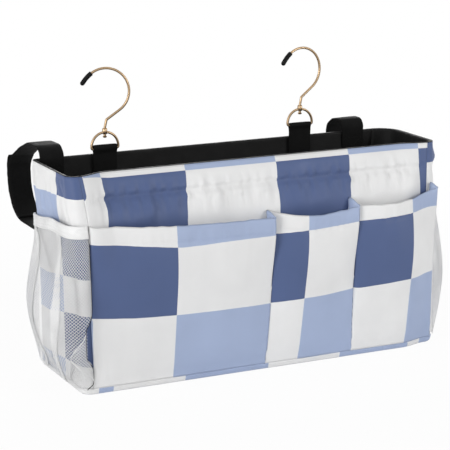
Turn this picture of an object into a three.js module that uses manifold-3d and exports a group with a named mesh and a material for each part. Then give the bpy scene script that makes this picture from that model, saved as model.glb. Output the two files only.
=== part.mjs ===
// Bedside caddy: a stiffened cloth bag with an open top, three front pockets, two mesh
// end pockets, two swivelling wire hooks on D-rings and two hook-and-loop straps.
// Millimetres, +X right, +Y to the back, +Z up, origin at the middle of the underside.
import * as THREE from 'three';
import { mergeVertices } from 'three/addons/utils/BufferGeometryUtils.js';
import Module from 'manifold-3d';

// Running gap between neighbouring pieces
const clearance = 0.3;

// Bag body
const bodyHeight = 198;
const rimHalfWidth = 193;
const baseHalfWidth = 187.5;
const flareShare = 3;
const backDepth = 46;
const frontMiddle = { rimDepth: 37, lowerDepth: 63.5, leanHeight: 110 };
const frontLeft = { rimDepth: 48, lowerDepth: 63.5, leanHeight: 64 };
const frontRight = { rimDepth: 44, lowerDepth: 57, leanHeight: 198 };
const frontCornerRadius = 11;
const backLeftRadius = 6;
const backRightRadius = 22;
const cornerStartShare = 0.84;

// Layers of a wall, from the outside in
const clothThickness = 0.9;
const boardThickness = 2;
const liningThickness = 0.7;
const boardMargin = 2;

// Printed border of the base, turned up round the foot of the walls
const baseBorderHeight = 5;
const baseEdgeRadius = 2.5;

// Front pockets: the two seams between them, and each mouth's heights, sag and fullness
const pocketSeamGap = 1.2;
const leftSeam = { base: -8, mouth: 9 };
const rightSeam = { base: 87, mouth: 99 };
const leftPocket = { leftHeight: 155, rightHeight: 145, sag: 3, fullness: 16, edgeShare: 0.7 };
const middlePocket = { leftHeight: 151, rightHeight: 149, sag: 5, fullness: 14, edgeShare: 0.7 };
const rightPocket = { leftHeight: 150, rightHeight: 156, sag: 4, fullness: 15, edgeShare: 0.4 };
const rightPocketWrap = { base: 4, mouth: 8 };
const pocketMouthHeight = 150;
const pocketHem = 15;
const hemThickness = 0.8;

// Mesh end pockets
const meshThickness = 0.7;
const meshHeight = 152;
const meshBulgeHeight = 68;
const meshMouthBulge = 5.5;
const meshPleat = 2.2;
const leftMesh = { bulge: 23, frontLift: 4, startShare: 0, endShare: 2.3 };
const rightMesh = { bulge: 22, frontLift: 0, startShare: 0.75, endShare: 2.3 };
const bandHeight = 11;
const bandThickness = 0.9;

// Webbing tabs and D-rings, each ring's bar some way above the rim
const tabWidth = 24;
const tabThickness = 1.2;
const tabLength = 48;
const ringWire = 2.4;
const ringLeg = 2.1;
const ringCornerRadius = 1.8;
const leftTab = { x: -121, barRise: 5.3, loopSlack: 1.6 };
const rightTab = { x: 86.5, barRise: 11.8, loopSlack: 0 };

// Swivel collar on each D-ring, and the hook that turns in it
const collarRadius = 2.3;
const collarRise = 2.6;
const collarDrop = 0.6;
const hookWire = 2.4;
const hookRadius = 21.8;
const hookCentreHeight = 34.8;
const hookCentreOffset = 1.6;
const hookKinkOffset = 1.7;
const hookKinkRadius = 1.8;
const hookRiseAngle = 36;
const hookArcEndAngle = 127;
const hookTailRadius = 34;
const hookTailLength = 11;
const hookHeadRadius = 1.9;
const hookHeadHeight = 1.5;
const hookNeckLength = 1.8;
const leftHookAngle = -16;
const rightHookAngle = 7;
const capWall = 0.75;
const capOverhang = 1.4;

// Hook-and-loop straps: rises and drops are measured from the bag's rim, or the strap's crest
const strapWidth = 24;
const strapThickness = 1.3;
const leftStrapX = -173.8;
const rightStrapX = 147.5;
const strapInnerLength = 25;
const strapSeamDrop = 69;
const strapHeelRise = 10;
const leftLoop = {
  crestRise: 8,
  crestRadius: 8,
  crownLength: 44,
  crownRadius: 24,
  shoulderDrop: 22,
  shoulderRadius: 22,
  heelRadius: 26,
  reach: 85,
  upperLength: 190,
  lowerLength: 117,
};
const rightLoop = {
  crestRise: 12,
  crestRadius: 8,
  crownLength: 17,
  crownRadius: 10,
  shoulderDrop: 10,
  shoulderRadius: 8,
  heelRadius: 12,
  reach: 27,
  upperLength: 130,
  lowerLength: 98,
};
const strapSewnLength = 20;

// Facets
const wireSides = 8;
const cornerSteps = 3;
const frontSteps = 14;
const pocketSteps = 12;
const wireFacetAngle = 12;
const strapFacetAngle = 15;

// Depths of the layers, worked out from their thicknesses
const boardDepth = clothThickness + clearance;
const liningDepth = boardDepth + boardThickness + clearance;
const wallDepth = liningDepth + liningThickness;
const wallFoot = wallDepth + clearance;
const panelFoot = baseBorderHeight + clearance;

const mix = (a, b, t) => a + (b - a) * t;
const clamp = (t) => Math.min(1, Math.max(0, t));
const smooth = (t) => clamp(t) ** 2 * (3 - 2 * clamp(t));
const easeOut = (t) => Math.sin((Math.PI / 2) * clamp(t));
const radians = THREE.MathUtils.degToRad;
const steps = (count) => Array.from({ length: count + 1 }, (_, i) => i / count);

// Plan of the body at each height

// The ends flare out towards the rim
const halfWidth = (z) => mix(baseHalfWidth, rimHalfWidth, (z / bodyHeight) ** flareShare);
const seamX = (z) => halfWidth(z) - frontCornerRadius;

function frontY(x, z) {
  const depthAt = ({ rimDepth, lowerDepth, leanHeight }) =>
    mix(rimDepth, lowerDepth, easeOut((bodyHeight - z) / leanHeight));
  const nearness = (Math.abs(x) / seamX(z) - cornerStartShare) / (1 - cornerStartShare);
  const corner = x < 0 ? frontLeft : frontRight;
  return -mix(depthAt(frontMiddle), depthAt(corner), smooth(nearness));
}

// Outline points carry the outward direction, so that a layer can lie at any depth
function frontOutline(share, z) {
  const reach = seamX(z) - clearance / 2;
  const x = mix(-reach, reach, share);
  const step = clearance;
  const slope = (frontY(x + step, z) - frontY(x - step, z)) / (2 * step);
  const length = Math.hypot(slope, 1);
  return { x, y: frontY(x, z), nx: slope / length, ny: -1 / length };
}

function backOutline(share, z) {
  const left = -halfWidth(z) + backLeftRadius + clearance / 2;
  const right = halfWidth(z) - backRightRadius - clearance / 2;
  return { x: mix(left, right, share), y: backDepth, nx: 0, ny: 1 };
}

// share runs 0 to 1 round the front corner, 1 to 2 along the end, 2 to 3 round the back corner
function endOutline(side, backRadius, share, z) {
  const frontCentreY = frontY(side * seamX(z), z) + frontCornerRadius;
  const backCentreY = backDepth - backRadius;
  if (share <= 1) {
    const angle = mix(clearance / frontCornerRadius, Math.PI / 2, share);
    const nx = side * Math.sin(angle);
    const ny = -Math.cos(angle);
    const x = side * seamX(z) + frontCornerRadius * nx;
    return { x, y: frontCentreY + frontCornerRadius * ny, nx, ny };
  }
  if (share <= 2) {
    const y = mix(frontCentreY, backCentreY, share - 1);
    return { x: side * halfWidth(z), y, nx: side, ny: 0 };
  }
  const angle = mix(0, Math.PI / 2 - clearance / backRadius, share - 2);
  const nx = side * Math.cos(angle);
  const ny = Math.sin(angle);
  const x = side * (halfWidth(z) - backRadius) + backRadius * nx;
  return { x, y: backCentreY + backRadius * ny, nx, ny };
}

const leftOutline = (share, z) => endOutline(-1, backLeftRadius, share, z);
const rightOutline = (share, z) => endOutline(1, backRightRadius, share, z);

const straightSteps = 4;
const endShares = [
  ...steps(cornerSteps),
  ...steps(straightSteps).slice(1).map((t) => 1 + t),
  ...steps(cornerSteps).slice(1).map((t) => 2 + t),
];
const frontBoardMargin = boardMargin / (2 * seamX(bodyHeight));
const cornerFineShares = [frontBoardMargin, 0.02, 0.045, 0.07];
const frontShares = [
  ...steps(frontSteps),
  ...cornerFineShares,
  ...cornerFineShares.map((t) => 1 - t),
].sort((a, b) => a - b);
const backShares = [0, 1];

// Closed bodies from rings of points

function facing(geometry) {
  const points = geometry.attributes.position;
  const index = geometry.index.array;
  const corner = (i) => new THREE.Vector3().fromBufferAttribute(points, index[i]);
  let volume = 0;
  for (let i = 0; i < index.length; i += 3) {
    volume += corner(i).dot(corner(i + 1).cross(corner(i + 2)));
  }
  if (volume < 0) {
    for (let i = 0; i < index.length; i += 3) {
      [index[i], index[i + 1]] = [index[i + 1], index[i]];
    }
  }
  geometry.computeVertexNormals();
  return geometry;
}

function bodyFrom(points, triangles) {
  const geometry = new THREE.BufferGeometry();
  geometry.setAttribute('position', new THREE.Float32BufferAttribute(points.flat(), 3));
  geometry.setIndex(triangles.flat());
  return facing(geometry);
}

// Triangles across a section: each time the corner with the shortest far side is cut off
function capTriangles(outline) {
  const points = outline.map(([u, v]) => new THREE.Vector2(u, v));
  const area = (...corners) => THREE.ShapeUtils.area(corners.map((i) => points[i]));
  const turn = Math.sign(THREE.ShapeUtils.area(points));
  const rest = points.map((_, i) => i);
  const holds = ([a, b, c], p) =>
    turn * area(a, b, p) >= 0 && turn * area(b, c, p) >= 0 && turn * area(c, a, p) >= 0;
  const farSide = ([a, , c]) => points[a].distanceTo(points[c]);
  const triangles = [];
  while (rest.length > 2) {
    const ears = rest
      .map((b, i) => [rest.at(i - 1), b, rest[(i + 1) % rest.length]])
      .filter((ear) => turn * area(...ear) > 0)
      .filter((ear) => !rest.some((p) => !ear.includes(p) && holds(ear, p)));
    const ear = ears.reduce((best, next) => (farSide(next) < farSide(best) ? next : best));
    triangles.push(ear);
    rest.splice(rest.indexOf(ear[1]), 1);
  }
  return triangles;
}

// The two triangles of a patch, split the same way in every layer of a wall
function patch(points, a, b, c, d) {
  const slant = (i, j) => {
    const [dx, dy, dz] = points[i].map((value, k) => value - points[j][k]);
    return (dx + dy / 2) * dz;
  };
  return slant(b, c) > slant(a, d) ? [[a, b, c], [b, d, c]] : [[a, b, d], [a, d, c]];
}

// Rings of like points joined in a row, with both ends closed by the section's outline
function loft(rings, outline) {
  const count = outline.length;
  const points = rings.flat();
  const triangles = [];
  for (let i = 0; i + 1 < rings.length; i++) {
    for (let j = 0; j < count; j++) {
      const a = i * count + j;
      const b = i * count + ((j + 1) % count);
      triangles.push(...patch(points, a, b, a + count, b + count));
    }
  }
  const last = (rings.length - 1) * count;
  for (const [a, b, c] of capTriangles(outline)) {
    triangles.push([b, a, c], [last + a, last + b, last + c]);
  }
  return bodyFrom(points, triangles);
}

// A wall piece: a section of [depth, height] points drawn along an outline of the body
function wall(outlineAt, shares, section) {
  const rings = shares.map((share) =>
    section.map(([depth, z]) => {
      const p = outlineAt(share, z);
      return [p.x - p.nx * depth, p.y - p.ny * depth, z];
    }),
  );
  return loft(rings, section);
}

// Section of a flat layer between two depths and two heights, with a row of points at each level
const heightsBetween = (foot, top, levels) =>
  [foot, ...levels.filter((z) => z > foot + clearance && z < top - clearance), top];

function layerSection(near, far, foot, top, levels) {
  const heights = heightsBetween(foot, top, levels);
  return [
    ...heights.map((z) => [near, z]),
    ...heights.toReversed().map((z) => [far, z]),
  ];
}

const tallLevels = steps(9).map((t) => t * bodyHeight);

// The printed cloth, the stiffening board and the lining of one wall
const clothSection = (levels) =>
  layerSection(0, clothThickness, panelFoot, bodyHeight, levels);

const boardSection = (levels) => {
  const top = bodyHeight - liningThickness - clearance;
  return layerSection(boardDepth, boardDepth + boardThickness, wallFoot, top, levels);
};

// The lining turns outward over the board's top edge, to the printed cloth
function liningSection(levels) {
  const lipFoot = bodyHeight - liningThickness;
  const heights = heightsBetween(wallFoot, lipFoot, levels);
  return [
    ...heights.map((z) => [liningDepth, z]),
    [boardDepth, lipFoot],
    [boardDepth, bodyHeight],
    [wallDepth, bodyHeight],
    ...heights.toReversed().map((z) => [wallDepth, z]),
  ];
}

// Boards stop short of the rounded corners
function boardShares(shares, margin) {
  const inner = shares.filter((t) => t > 1.5 * margin && t < 1 - 1.5 * margin);
  return [margin, ...inner, 1 - margin];
}
const endBoardShares = steps(straightSteps).map((t) => 1 + t);

// Base: closed rings of the whole outline, drawn in by a depth

const ringShares = [
  ...frontShares.map((t) => [frontOutline, t]),
  ...endShares.map((t) => [rightOutline, t]),
  ...endShares.toReversed().map((t) => [leftOutline, t]),
];

function bodyRing(depth, z) {
  return ringShares.map(([outlineAt, share]) => {
    const p = outlineAt(share, z);
    return [p.x - p.nx * depth, p.y - p.ny * depth, z];
  });
}

function plate(levels) {
  const rings = levels.map(([depth, z]) => bodyRing(depth, z));
  return loft(rings, rings[0].map(([x, y]) => [x, y]));
}

function basePanel() {
  const edgeSteps = steps(cornerSteps);
  const outer = edgeSteps.map((t) => {
    const angle = (Math.PI / 2) * t;
    return [baseEdgeRadius * (1 - Math.sin(angle)), baseEdgeRadius * (1 - Math.cos(angle))];
  });
  return plate([
    ...outer,
    [0, baseBorderHeight],
    [clothThickness, baseBorderHeight],
    [clothThickness, baseEdgeRadius],
    [baseEdgeRadius, clothThickness],
  ]);
}

// Front pockets

const seamAt = (seam) => (z) => mix(seam.base, seam.mouth, z / pocketMouthHeight);
const leftEdge = (z) => -seamX(z);
const rightEdge = (z) => seamX(z) + seamAt(rightPocketWrap)(z);

// A point of a pocket: share across its width, share of its height, and depth behind its face
function pocketPoint(pocket, leftX, rightX, share, rise, depth) {
  const mouth = mix(pocket.leftHeight, pocket.rightHeight, share);
  const top = mouth - pocket.sag * Math.sin(Math.PI * share);
  const z = mix(panelFoot, top, rise);
  const left = leftX(z) + pocketSeamGap / 2;
  const right = rightX(z) - pocketSeamGap / 2;
  const x = mix(left, right, share);
  const opening = Math.max(0, Math.sin(Math.PI * share)) ** pocket.edgeShare;
  const gape = pocket.fullness * (z / pocketMouthHeight) * opening;
  const back = frontY(x, z) - clearance - hemThickness;
  return [x, back - clothThickness - gape + depth, z];
}

// The hem is the top edge folded to the inside
function frontPocket(pocket, leftX, rightX) {
  const hemRise = 1 - pocketHem / pocket.leftHeight;
  const bodyRises = steps(7).map((t) => t * hemRise);
  const hemRises = [mix(hemRise, 1, 0.5), 1];
  const inner = clothThickness + hemThickness;
  const section = [
    ...bodyRises.map((t) => [0, t]),
    ...hemRises.map((t) => [0, t]),
    ...hemRises.toReversed().map((t) => [inner, t]),
    [inner, hemRise],
    ...bodyRises.toReversed().map((t) => [clothThickness, t]),
  ];
  const shares = steps(pocketSteps);
  const rings = shares.map((share) =>
    section.map(([depth, rise]) => pocketPoint(pocket, leftX, rightX, share, rise, depth)),
  );
  return loft(
    rings,
    section.map(([depth, rise]) => [depth, rise * pocket.leftHeight]),
  );
}

// Mesh end pockets, bulging from the end wall and drawn in at the mouth by their band

function meshOffset(mesh, share, z) {
  const round = (share - mesh.startShare) / (mesh.endShare - mesh.startShare);
  const across = Math.sin(Math.PI * round) ** 0.8;
  const rise = clamp(z / meshHeight);
  const peak = meshBulgeHeight / meshHeight;
  const below = easeOut(rise / peak) ** 1.1;
  const above = Math.cos((Math.PI / 2) * clamp((rise - peak) / (1 - peak))) ** 2;
  const bulge = mix(meshMouthBulge * smooth(rise / peak), mesh.bulge, rise < peak ? below : above);
  const pleats = meshPleat * Math.cos(4 * Math.PI * round) * easeOut(rise / peak);
  const seat = clearance + bandThickness + clearance + meshThickness;
  return seat + across * (bulge + (rise < 1 ? pleats * above : 0));
}

// The top edge rises towards the front
function meshPoint(outlineAt, mesh, share, level, depth) {
  const lift = mesh.frontLift * (1 - share / mesh.endShare);
  const z = level + lift * smooth(level / meshHeight);
  const p = outlineAt(share, z);
  const out = meshOffset(mesh, share, level) - depth;
  return [p.x + p.nx * out, p.y + p.ny * out, z];
}

const meshShares = (mesh) => steps(18).map((t) => mix(mesh.startShare, mesh.endShare, t));
const bandFoot = meshHeight - bandHeight;
const bandRoof = meshHeight - bandThickness;
const bandMiddle = mix(bandFoot, bandRoof, 0.5);

function meshPocket(outlineAt, mesh) {
  const below = steps(10).map((t) => mix(panelFoot, bandFoot, t));
  const heights = [...below, bandMiddle, bandRoof - clearance];
  const section = [
    ...heights.map((z) => [0, z]),
    ...heights.toReversed().map((z) => [meshThickness, z]),
  ];
  const rings = meshShares(mesh).map((share) =>
    section.map(([depth, z]) => meshPoint(outlineAt, mesh, share, z, depth)),
  );
  return loft(rings, section);
}

// The band is folded over the mesh's top edge
function meshBand(outlineAt, mesh) {
  const outer = -clearance - bandThickness;
  const inner = meshThickness + clearance;
  const section = [
    [outer, bandFoot],
    [outer, bandMiddle],
    [outer, meshHeight],
    [inner + bandThickness, meshHeight],
    [inner + bandThickness, bandMiddle],
    [inner + bandThickness, bandFoot],
    [inner, bandFoot],
    [inner, bandMiddle],
    [inner, bandRoof],
    [-clearance, bandRoof],
    [-clearance, bandMiddle],
    [-clearance, bandFoot],
  ];
  const rings = meshShares(mesh).map((share) =>
    section.map(([depth, z]) => meshPoint(outlineAt, mesh, share, z, depth)),
  );
  return loft(rings, section);
}

// Bent wires and bands

// A line along corner points, each corner rounded by its radius
function roundedLine(corners) {
  const path = new THREE.Path();
  corners.forEach(({ at, radius = 0 }, i) => {
    const here = new THREE.Vector2(...at);
    if (i === 0) {
      path.moveTo(here.x, here.y);
      return;
    }
    if (!radius) {
      path.lineTo(here.x, here.y);
      return;
    }
    const before = new THREE.Vector2(...corners[i - 1].at).sub(here).normalize();
    const after = new THREE.Vector2(...corners[i + 1].at).sub(here).normalize();
    const half = Math.acos(before.dot(after)) / 2;
    const run = radius / Math.tan(half);
    const start = before.clone().multiplyScalar(run).add(here);
    const end = after.clone().multiplyScalar(run).add(here);
    const middle = before.clone().add(after).normalize();
    const centre = middle.multiplyScalar(radius / Math.sin(half)).add(here);
    const clockwise = before.cross(after) > 0;
    path.lineTo(start.x, start.y);
    const from = start.sub(centre).angle();
    const to = end.sub(centre).angle();
    path.absarc(centre.x, centre.y, radius, from, to, clockwise);
  });
  return path;
}

// Points along a path, with an arc cut into facets of at most an angle in degrees
function pathPoints(path, facetAngle) {
  const points = path.curves.flatMap((curve) => {
    const turn = curve.isEllipseCurve ? curve.getLength() / curve.xRadius : 0;
    return curve.getPoints(Math.max(1, Math.ceil(turn / radians(facetAngle))));
  });
  return points.filter((p, i) => i === 0 || p.distanceTo(points[i - 1]) > clearance / 10);
}

// Places along a line of points: the point at a length, and the direction to its left
function measured(points) {
  const lengths = [0];
  for (let i = 1; i < points.length; i++) {
    lengths.push(lengths[i - 1] + points[i].distanceTo(points[i - 1]));
  }
  const tangents = points.map((_, i) => {
    const next = points[Math.min(i + 1, points.length - 1)];
    const last = points[Math.max(i - 1, 0)];
    return next.clone().sub(last).normalize();
  });
  const total = lengths.at(-1);
  const at = (length) => {
    const s = Math.min(total, Math.max(0, length));
    const i = Math.max(1, lengths.findIndex((l) => l >= s));
    const t = (s - lengths[i - 1]) / (lengths[i] - lengths[i - 1]);
    const tangent = tangents[i - 1].clone().lerp(tangents[i], t).normalize();
    return {
      point: points[i - 1].clone().lerp(points[i], t),
      left: new THREE.Vector2(-tangent.y, tangent.x),
    };
  };
  return { at, total, lengths };
}

// A body of round sections: profile holds [length along the line, radius] from axis to axis
function turnedAlong(line, profile, sides) {
  const points = [];
  const triangles = [];
  const place = (u, out, v) => [u, out, v];
  let previous = null;
  for (const [length, radius] of profile) {
    const { point, left } = line.at(length);
    const start = points.length;
    const count = radius > 0 ? sides : 1;
    for (let k = 0; k < count; k++) {
      const angle = (2 * Math.PI * k) / sides;
      const across = radius * Math.cos(angle);
      const u = point.x + left.x * across;
      const v = point.y + left.y * across;
      points.push(place(u, radius * Math.sin(angle), v));
    }
    if (previous) {
      for (let k = 0; k < sides; k++) {
        const n = (k + 1) % sides;
        const [a, b] = previous.count > 1 ? [previous.start + k, previous.start + n] : [];
        const [c, d] = count > 1 ? [start + k, start + n] : [];
        if (previous.count > 1 && count > 1) {
          triangles.push([a, b, c], [b, d, c]);
        } else if (count > 1) {
          triangles.push([previous.start, d, c]);
        } else {
          triangles.push([a, b, start]);
        }
      }
    }
    previous = { start, count };
  }
  return bodyFrom(points, triangles);
}

// A wire closed on itself, in the XZ plane
function wireLoop(path, radius, sides) {
  const points = pathPoints(path, wireFacetAngle);
  if (points[0].distanceTo(points.at(-1)) < clearance) {
    points.pop();
  }
  const count = points.length;
  const rings = points.map((point, i) => {
    const next = points[(i + 1) % count];
    const last = points[(i + count - 1) % count];
    const along = next.clone().sub(last).normalize();
    return steps(sides).slice(1).map((t) => {
      const across = radius * Math.cos(2 * Math.PI * t);
      const u = point.x - along.y * across;
      const v = point.y + along.x * across;
      return [u, radius * Math.sin(2 * Math.PI * t), v];
    });
  });
  const triangles = [];
  for (let i = 0; i < count; i++) {
    for (let j = 0; j < sides; j++) {
      const a = i * sides + j;
      const b = i * sides + ((j + 1) % sides);
      const c = ((i + 1) % count) * sides + j;
      const d = ((i + 1) % count) * sides + ((j + 1) % sides);
      triangles.push([a, b, c], [b, d, c]);
    }
  }
  return bodyFrom(rings.flat(), triangles);
}

// A flat band whose edge runs along a line of [back, up] points, drawn out along X
function flatBand(points, thickness, width) {
  const line = measured(points);
  const edge = (side) =>
    line.lengths.map((length) => {
      const { point, left } = line.at(length);
      return point.clone().add(left.multiplyScalar((side * thickness) / 2));
    });
  const shape = new THREE.Shape([...edge(1), ...edge(-1).reverse()]);
  return drawnAcross(shape, width);
}

function drawnAcross(shape, width, curveSegments = 12) {
  const settings = { depth: width, bevelEnabled: false, curveSegments };
  const geometry = new THREE.ExtrudeGeometry(shape, settings);
  geometry.translate(0, 0, -width / 2);
  // the shape's first axis becomes +Y and its second +Z
  geometry.applyMatrix4(new THREE.Matrix4().set(0, 0, 1, 0, 1, 0, 0, 0, 0, 1, 0, 0, 0, 0, 0, 1));
  return geometry;
}

// Joining and cutting

const wasm = await Module();
wasm.setup();

function solid(geometry) {
  const bare = new THREE.BufferGeometry();
  bare.setAttribute('position', geometry.attributes.position);
  bare.setIndex(geometry.index);
  const merged = mergeVertices(bare);
  return new wasm.Manifold(
    new wasm.Mesh({
      numProp: 3,
      vertProperties: new Float32Array(merged.attributes.position.array),
      triVerts: new Uint32Array(merged.index.array),
    }),
  );
}

function geometryOf(body) {
  const { vertProperties, triVerts } = body.getMesh();
  const geometry = new THREE.BufferGeometry();
  geometry.setAttribute('position', new THREE.Float32BufferAttribute(vertProperties, 3));
  geometry.setIndex(Array.from(triVerts));
  geometry.computeVertexNormals();
  return geometry;
}

// Webbing tabs, D-rings and hooks

const barRadius = ringWire / 2;
const ringHalfWidth = tabWidth / 2 + clearance + barRadius;
const ringArchHeight = ringLeg + ringHalfWidth;
const eyeRadius = barRadius + clearance;
const tabY = backDepth - wallDepth - clearance - tabThickness;

const barHeight = (tab) => bodyHeight + tab.barRise;

function ringTab(tab) {
  const bar = barHeight(tab);
  const outer = eyeRadius + tabThickness;
  const foot = bodyHeight - tabLength;
  const neck = bar - outer - tabThickness;
  const crown = bar + tab.loopSlack;
  const shape = new THREE.Shape();
  shape.moveTo(tabY - tabThickness, foot);
  shape.lineTo(tabY - tabThickness, neck);
  shape.lineTo(tabY - outer, bar);
  shape.lineTo(tabY - outer, crown);
  shape.absarc(tabY, crown, outer, Math.PI, 0, true);
  shape.lineTo(tabY + outer, bar);
  shape.lineTo(tabY + tabThickness, neck);
  shape.lineTo(tabY + tabThickness, foot);
  const eye = new THREE.Path();
  eye.absarc(tabY, bar, eyeRadius, Math.PI, 2 * Math.PI, false);
  eye.absarc(tabY, crown, eyeRadius, 0, Math.PI, false);
  shape.holes.push(eye);
  return drawnAcross(shape, tabWidth, 6).translate(tab.x, 0, 0);
}

// The ring stands on its bar at the origin; its collar takes the hook's stem
function dRing() {
  const path = new THREE.Path();
  const inset = ringHalfWidth - ringCornerRadius;
  path.moveTo(-inset, 0);
  path.lineTo(inset, 0);
  path.absarc(inset, ringCornerRadius, ringCornerRadius, -Math.PI / 2, 0, false);
  path.absarc(0, ringLeg, ringHalfWidth, 0, Math.PI, false);
  path.absarc(-inset, ringCornerRadius, ringCornerRadius, Math.PI, 1.5 * Math.PI, false);
  const loop = wireLoop(path, barRadius, wireSides);
  const foot = ringArchHeight - barRadius - collarDrop;
  const top = ringArchHeight + barRadius + collarRise;
  const upright = new THREE.Matrix4().makeRotationX(Math.PI / 2);
  const collar = new THREE.CylinderGeometry(collarRadius, collarRadius, top - foot, 16);
  const boreRadius = hookWire / 2 + clearance;
  const bore = new THREE.CylinderGeometry(boreRadius, boreRadius, 2 * ringArchHeight, 16);
  collar.applyMatrix4(upright).translate(0, 0, (top + foot) / 2);
  bore.applyMatrix4(upright).translate(0, 0, 2 * ringArchHeight - ringHalfWidth);
  return geometryOf(solid(loop).add(solid(collar)).subtract(solid(bore)));
}

// The hook's wire, measured from the collar's top, with its opening to the left
const headFoot = -(collarRise + ringWire + collarDrop + hookNeckLength + hookHeadHeight);

function hookLine() {
  const rise = radians(hookRiseAngle);
  const arcStart = rise - Math.PI / 2;
  const arcEnd = radians(hookArcEndAngle);
  const startX = hookCentreOffset + hookRadius * Math.cos(arcStart);
  const startY = hookCentreHeight + hookRadius * Math.sin(arcStart);
  const kinkY = startY - (startX - hookKinkOffset) * Math.tan(rise);
  const stem = roundedLine([
    { at: [0, headFoot] },
    { at: [0, 0] },
    { at: [hookKinkOffset, kinkY], radius: hookKinkRadius },
    { at: [startX, startY] },
  ]);
  stem.absarc(hookCentreOffset, hookCentreHeight, hookRadius, arcStart, arcEnd, false);
  // the tail opens out on a larger radius from the arc's end
  const shift = hookTailRadius - hookRadius;
  const tailX = hookCentreOffset - shift * Math.cos(arcEnd);
  const tailY = hookCentreHeight - shift * Math.sin(arcEnd);
  const tailEnd = arcEnd + hookTailLength / hookTailRadius;
  stem.absarc(tailX, tailY, hookTailRadius, arcEnd, tailEnd, false);
  return measured(pathPoints(stem, wireFacetAngle));
}

function hookBody(line) {
  const radius = hookWire / 2;
  const neck = hookHeadHeight + hookNeckLength / 2;
  const start = hookHeadHeight + hookNeckLength;
  return turnedAlong(
    line,
    [
      [0, 0],
      [0, hookHeadRadius],
      [hookHeadHeight, hookHeadRadius],
      [neck, radius],
      ...line.lengths.filter((length) => length > start).map((length) => [length, radius]),
      [line.total, 0],
    ],
    wireSides,
  );
}

// A rubber sleeve with a round closed end
function hookCap(line) {
  const bore = hookWire / 2 + clearance;
  const outer = bore + capWall;
  const start = line.total - hookTailLength;
  const reach = line.total + clearance;
  const tip = line.at(line.total);
  const along = new THREE.Vector2(tip.left.y, -tip.left.x);
  const past = clearance + capOverhang + outer;
  const end = tip.point.clone().add(along.multiplyScalar(past));
  const sleevePoints = line.lengths
    .filter((length) => length > start && length < line.total)
    .map((length) => line.at(length).point);
  const sleeve = measured([line.at(start).point, ...sleevePoints, tip.point, end]);
  const bodyStations = sleeve.lengths.slice(0, -1);
  const domeSteps = steps(3).slice(1, -1);
  const domeStart = sleeve.total - outer;
  return turnedAlong(
    sleeve,
    [
      [reach - start, 0],
      [reach - start, bore],
      ...bodyStations.toReversed().map((length) => [length, bore]),
      ...bodyStations.map((length) => [length, outer]),
      [domeStart, outer],
      ...domeSteps.map((t) => [
        domeStart + outer * Math.sin((Math.PI / 2) * t),
        outer * Math.cos((Math.PI / 2) * t),
      ]),
      [sleeve.total, 0],
    ],
    wireSides,
  );
}

// Straps: one line from inside the bag over the back rim and round to the back seam

const strapInnerY = backDepth - wallDepth - clearance - strapThickness / 2;
const strapSeamY = backDepth + clearance + strapThickness;
const strapSeamHeight = bodyHeight - strapSeamDrop;

function strapLine(loop) {
  const heel = backDepth + loop.reach;
  const crest = bodyHeight + loop.crestRise;
  const path = roundedLine([
    { at: [strapInnerY, bodyHeight - strapInnerLength] },
    { at: [strapInnerY, crest], radius: loop.crestRadius },
    { at: [strapInnerY + loop.crownLength, crest], radius: loop.crownRadius },
    { at: [heel, crest - loop.shoulderDrop], radius: loop.shoulderRadius },
    { at: [heel, strapSeamHeight + strapHeelRise], radius: loop.heelRadius },
    { at: [strapSeamY + clearance, strapSeamHeight] },
  ]);
  return measured(pathPoints(path, strapFacetAngle));
}

// Part of a line between two lengths, moved sideways to its right by an offset
function stretch(line, from, to, offset) {
  const inner = line.lengths.filter((length) => length > from && length < to);
  return [from, ...inner, to].map((length) => {
    const { point, left } = line.at(length);
    return point.clone().add(left.multiplyScalar(offset));
  });
}

function strapUpper(line, loop) {
  return flatBand(stretch(line, 0, loop.upperLength, 0), strapThickness, strapWidth);
}

function strapLower(line, loop) {
  const start = line.total - loop.lowerLength;
  const offset = strapThickness + clearance;
  return flatBand(stretch(line, start, line.total, offset), strapThickness, strapWidth);
}

function strapSewnEnd() {
  const top = strapSeamHeight + strapThickness - clearance;
  const shape = new THREE.Shape([
    new THREE.Vector2(backDepth + clearance, top - strapSewnLength),
    new THREE.Vector2(strapSeamY, top - strapSewnLength),
    new THREE.Vector2(strapSeamY, top),
    new THREE.Vector2(backDepth + clearance, top),
  ]);
  return drawnAcross(shape, strapWidth);
}

// Materials

const printedCloth = { color: 0xa4b2cf, roughness: 0.85, metalness: 0 };
const whiteCloth = { color: 0xe6e6e8, roughness: 0.85, metalness: 0 };
const boardGrey = { color: 0x8d8d8d, roughness: 0.9, metalness: 0 };
const liningBlack = { color: 0x161616, roughness: 0.9, metalness: 0 };
const meshWhite = { color: 0xdfe1e4, roughness: 0.8, metalness: 0 };
const webbingBlack = { color: 0x131313, roughness: 0.95, metalness: 0 };
const rubberBlack = { color: 0x0b0b0b, roughness: 0.7, metalness: 0 };
const paleGold = { color: 0xc8a06e, roughness: 0.25, metalness: 1 };

function piece(name, geometry, look) {
  const mesh = new THREE.Mesh(geometry, new THREE.MeshStandardMaterial(look));
  mesh.name = name;
  return mesh;
}

// Assembly

const caddy = new THREE.Group();

const walls = [
  ['front', frontOutline, frontShares, boardShares(frontShares, frontBoardMargin), tallLevels],
  ['back', backOutline, backShares, boardShares(backShares, frontBoardMargin), tallLevels],
  ['left_end', leftOutline, endShares, endBoardShares, tallLevels],
  ['right_end', rightOutline, endShares, endBoardShares, tallLevels],
];
for (const [side, outlineAt, shares, stiffShares, levels] of walls) {
  caddy.add(
    piece(`${side}_panel`, wall(outlineAt, shares, clothSection(levels)), printedCloth),
    piece(`${side}_board`, wall(outlineAt, stiffShares, boardSection(levels)), boardGrey),
    piece(`${side}_lining`, wall(outlineAt, shares, liningSection(levels)), liningBlack),
  );
}

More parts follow.
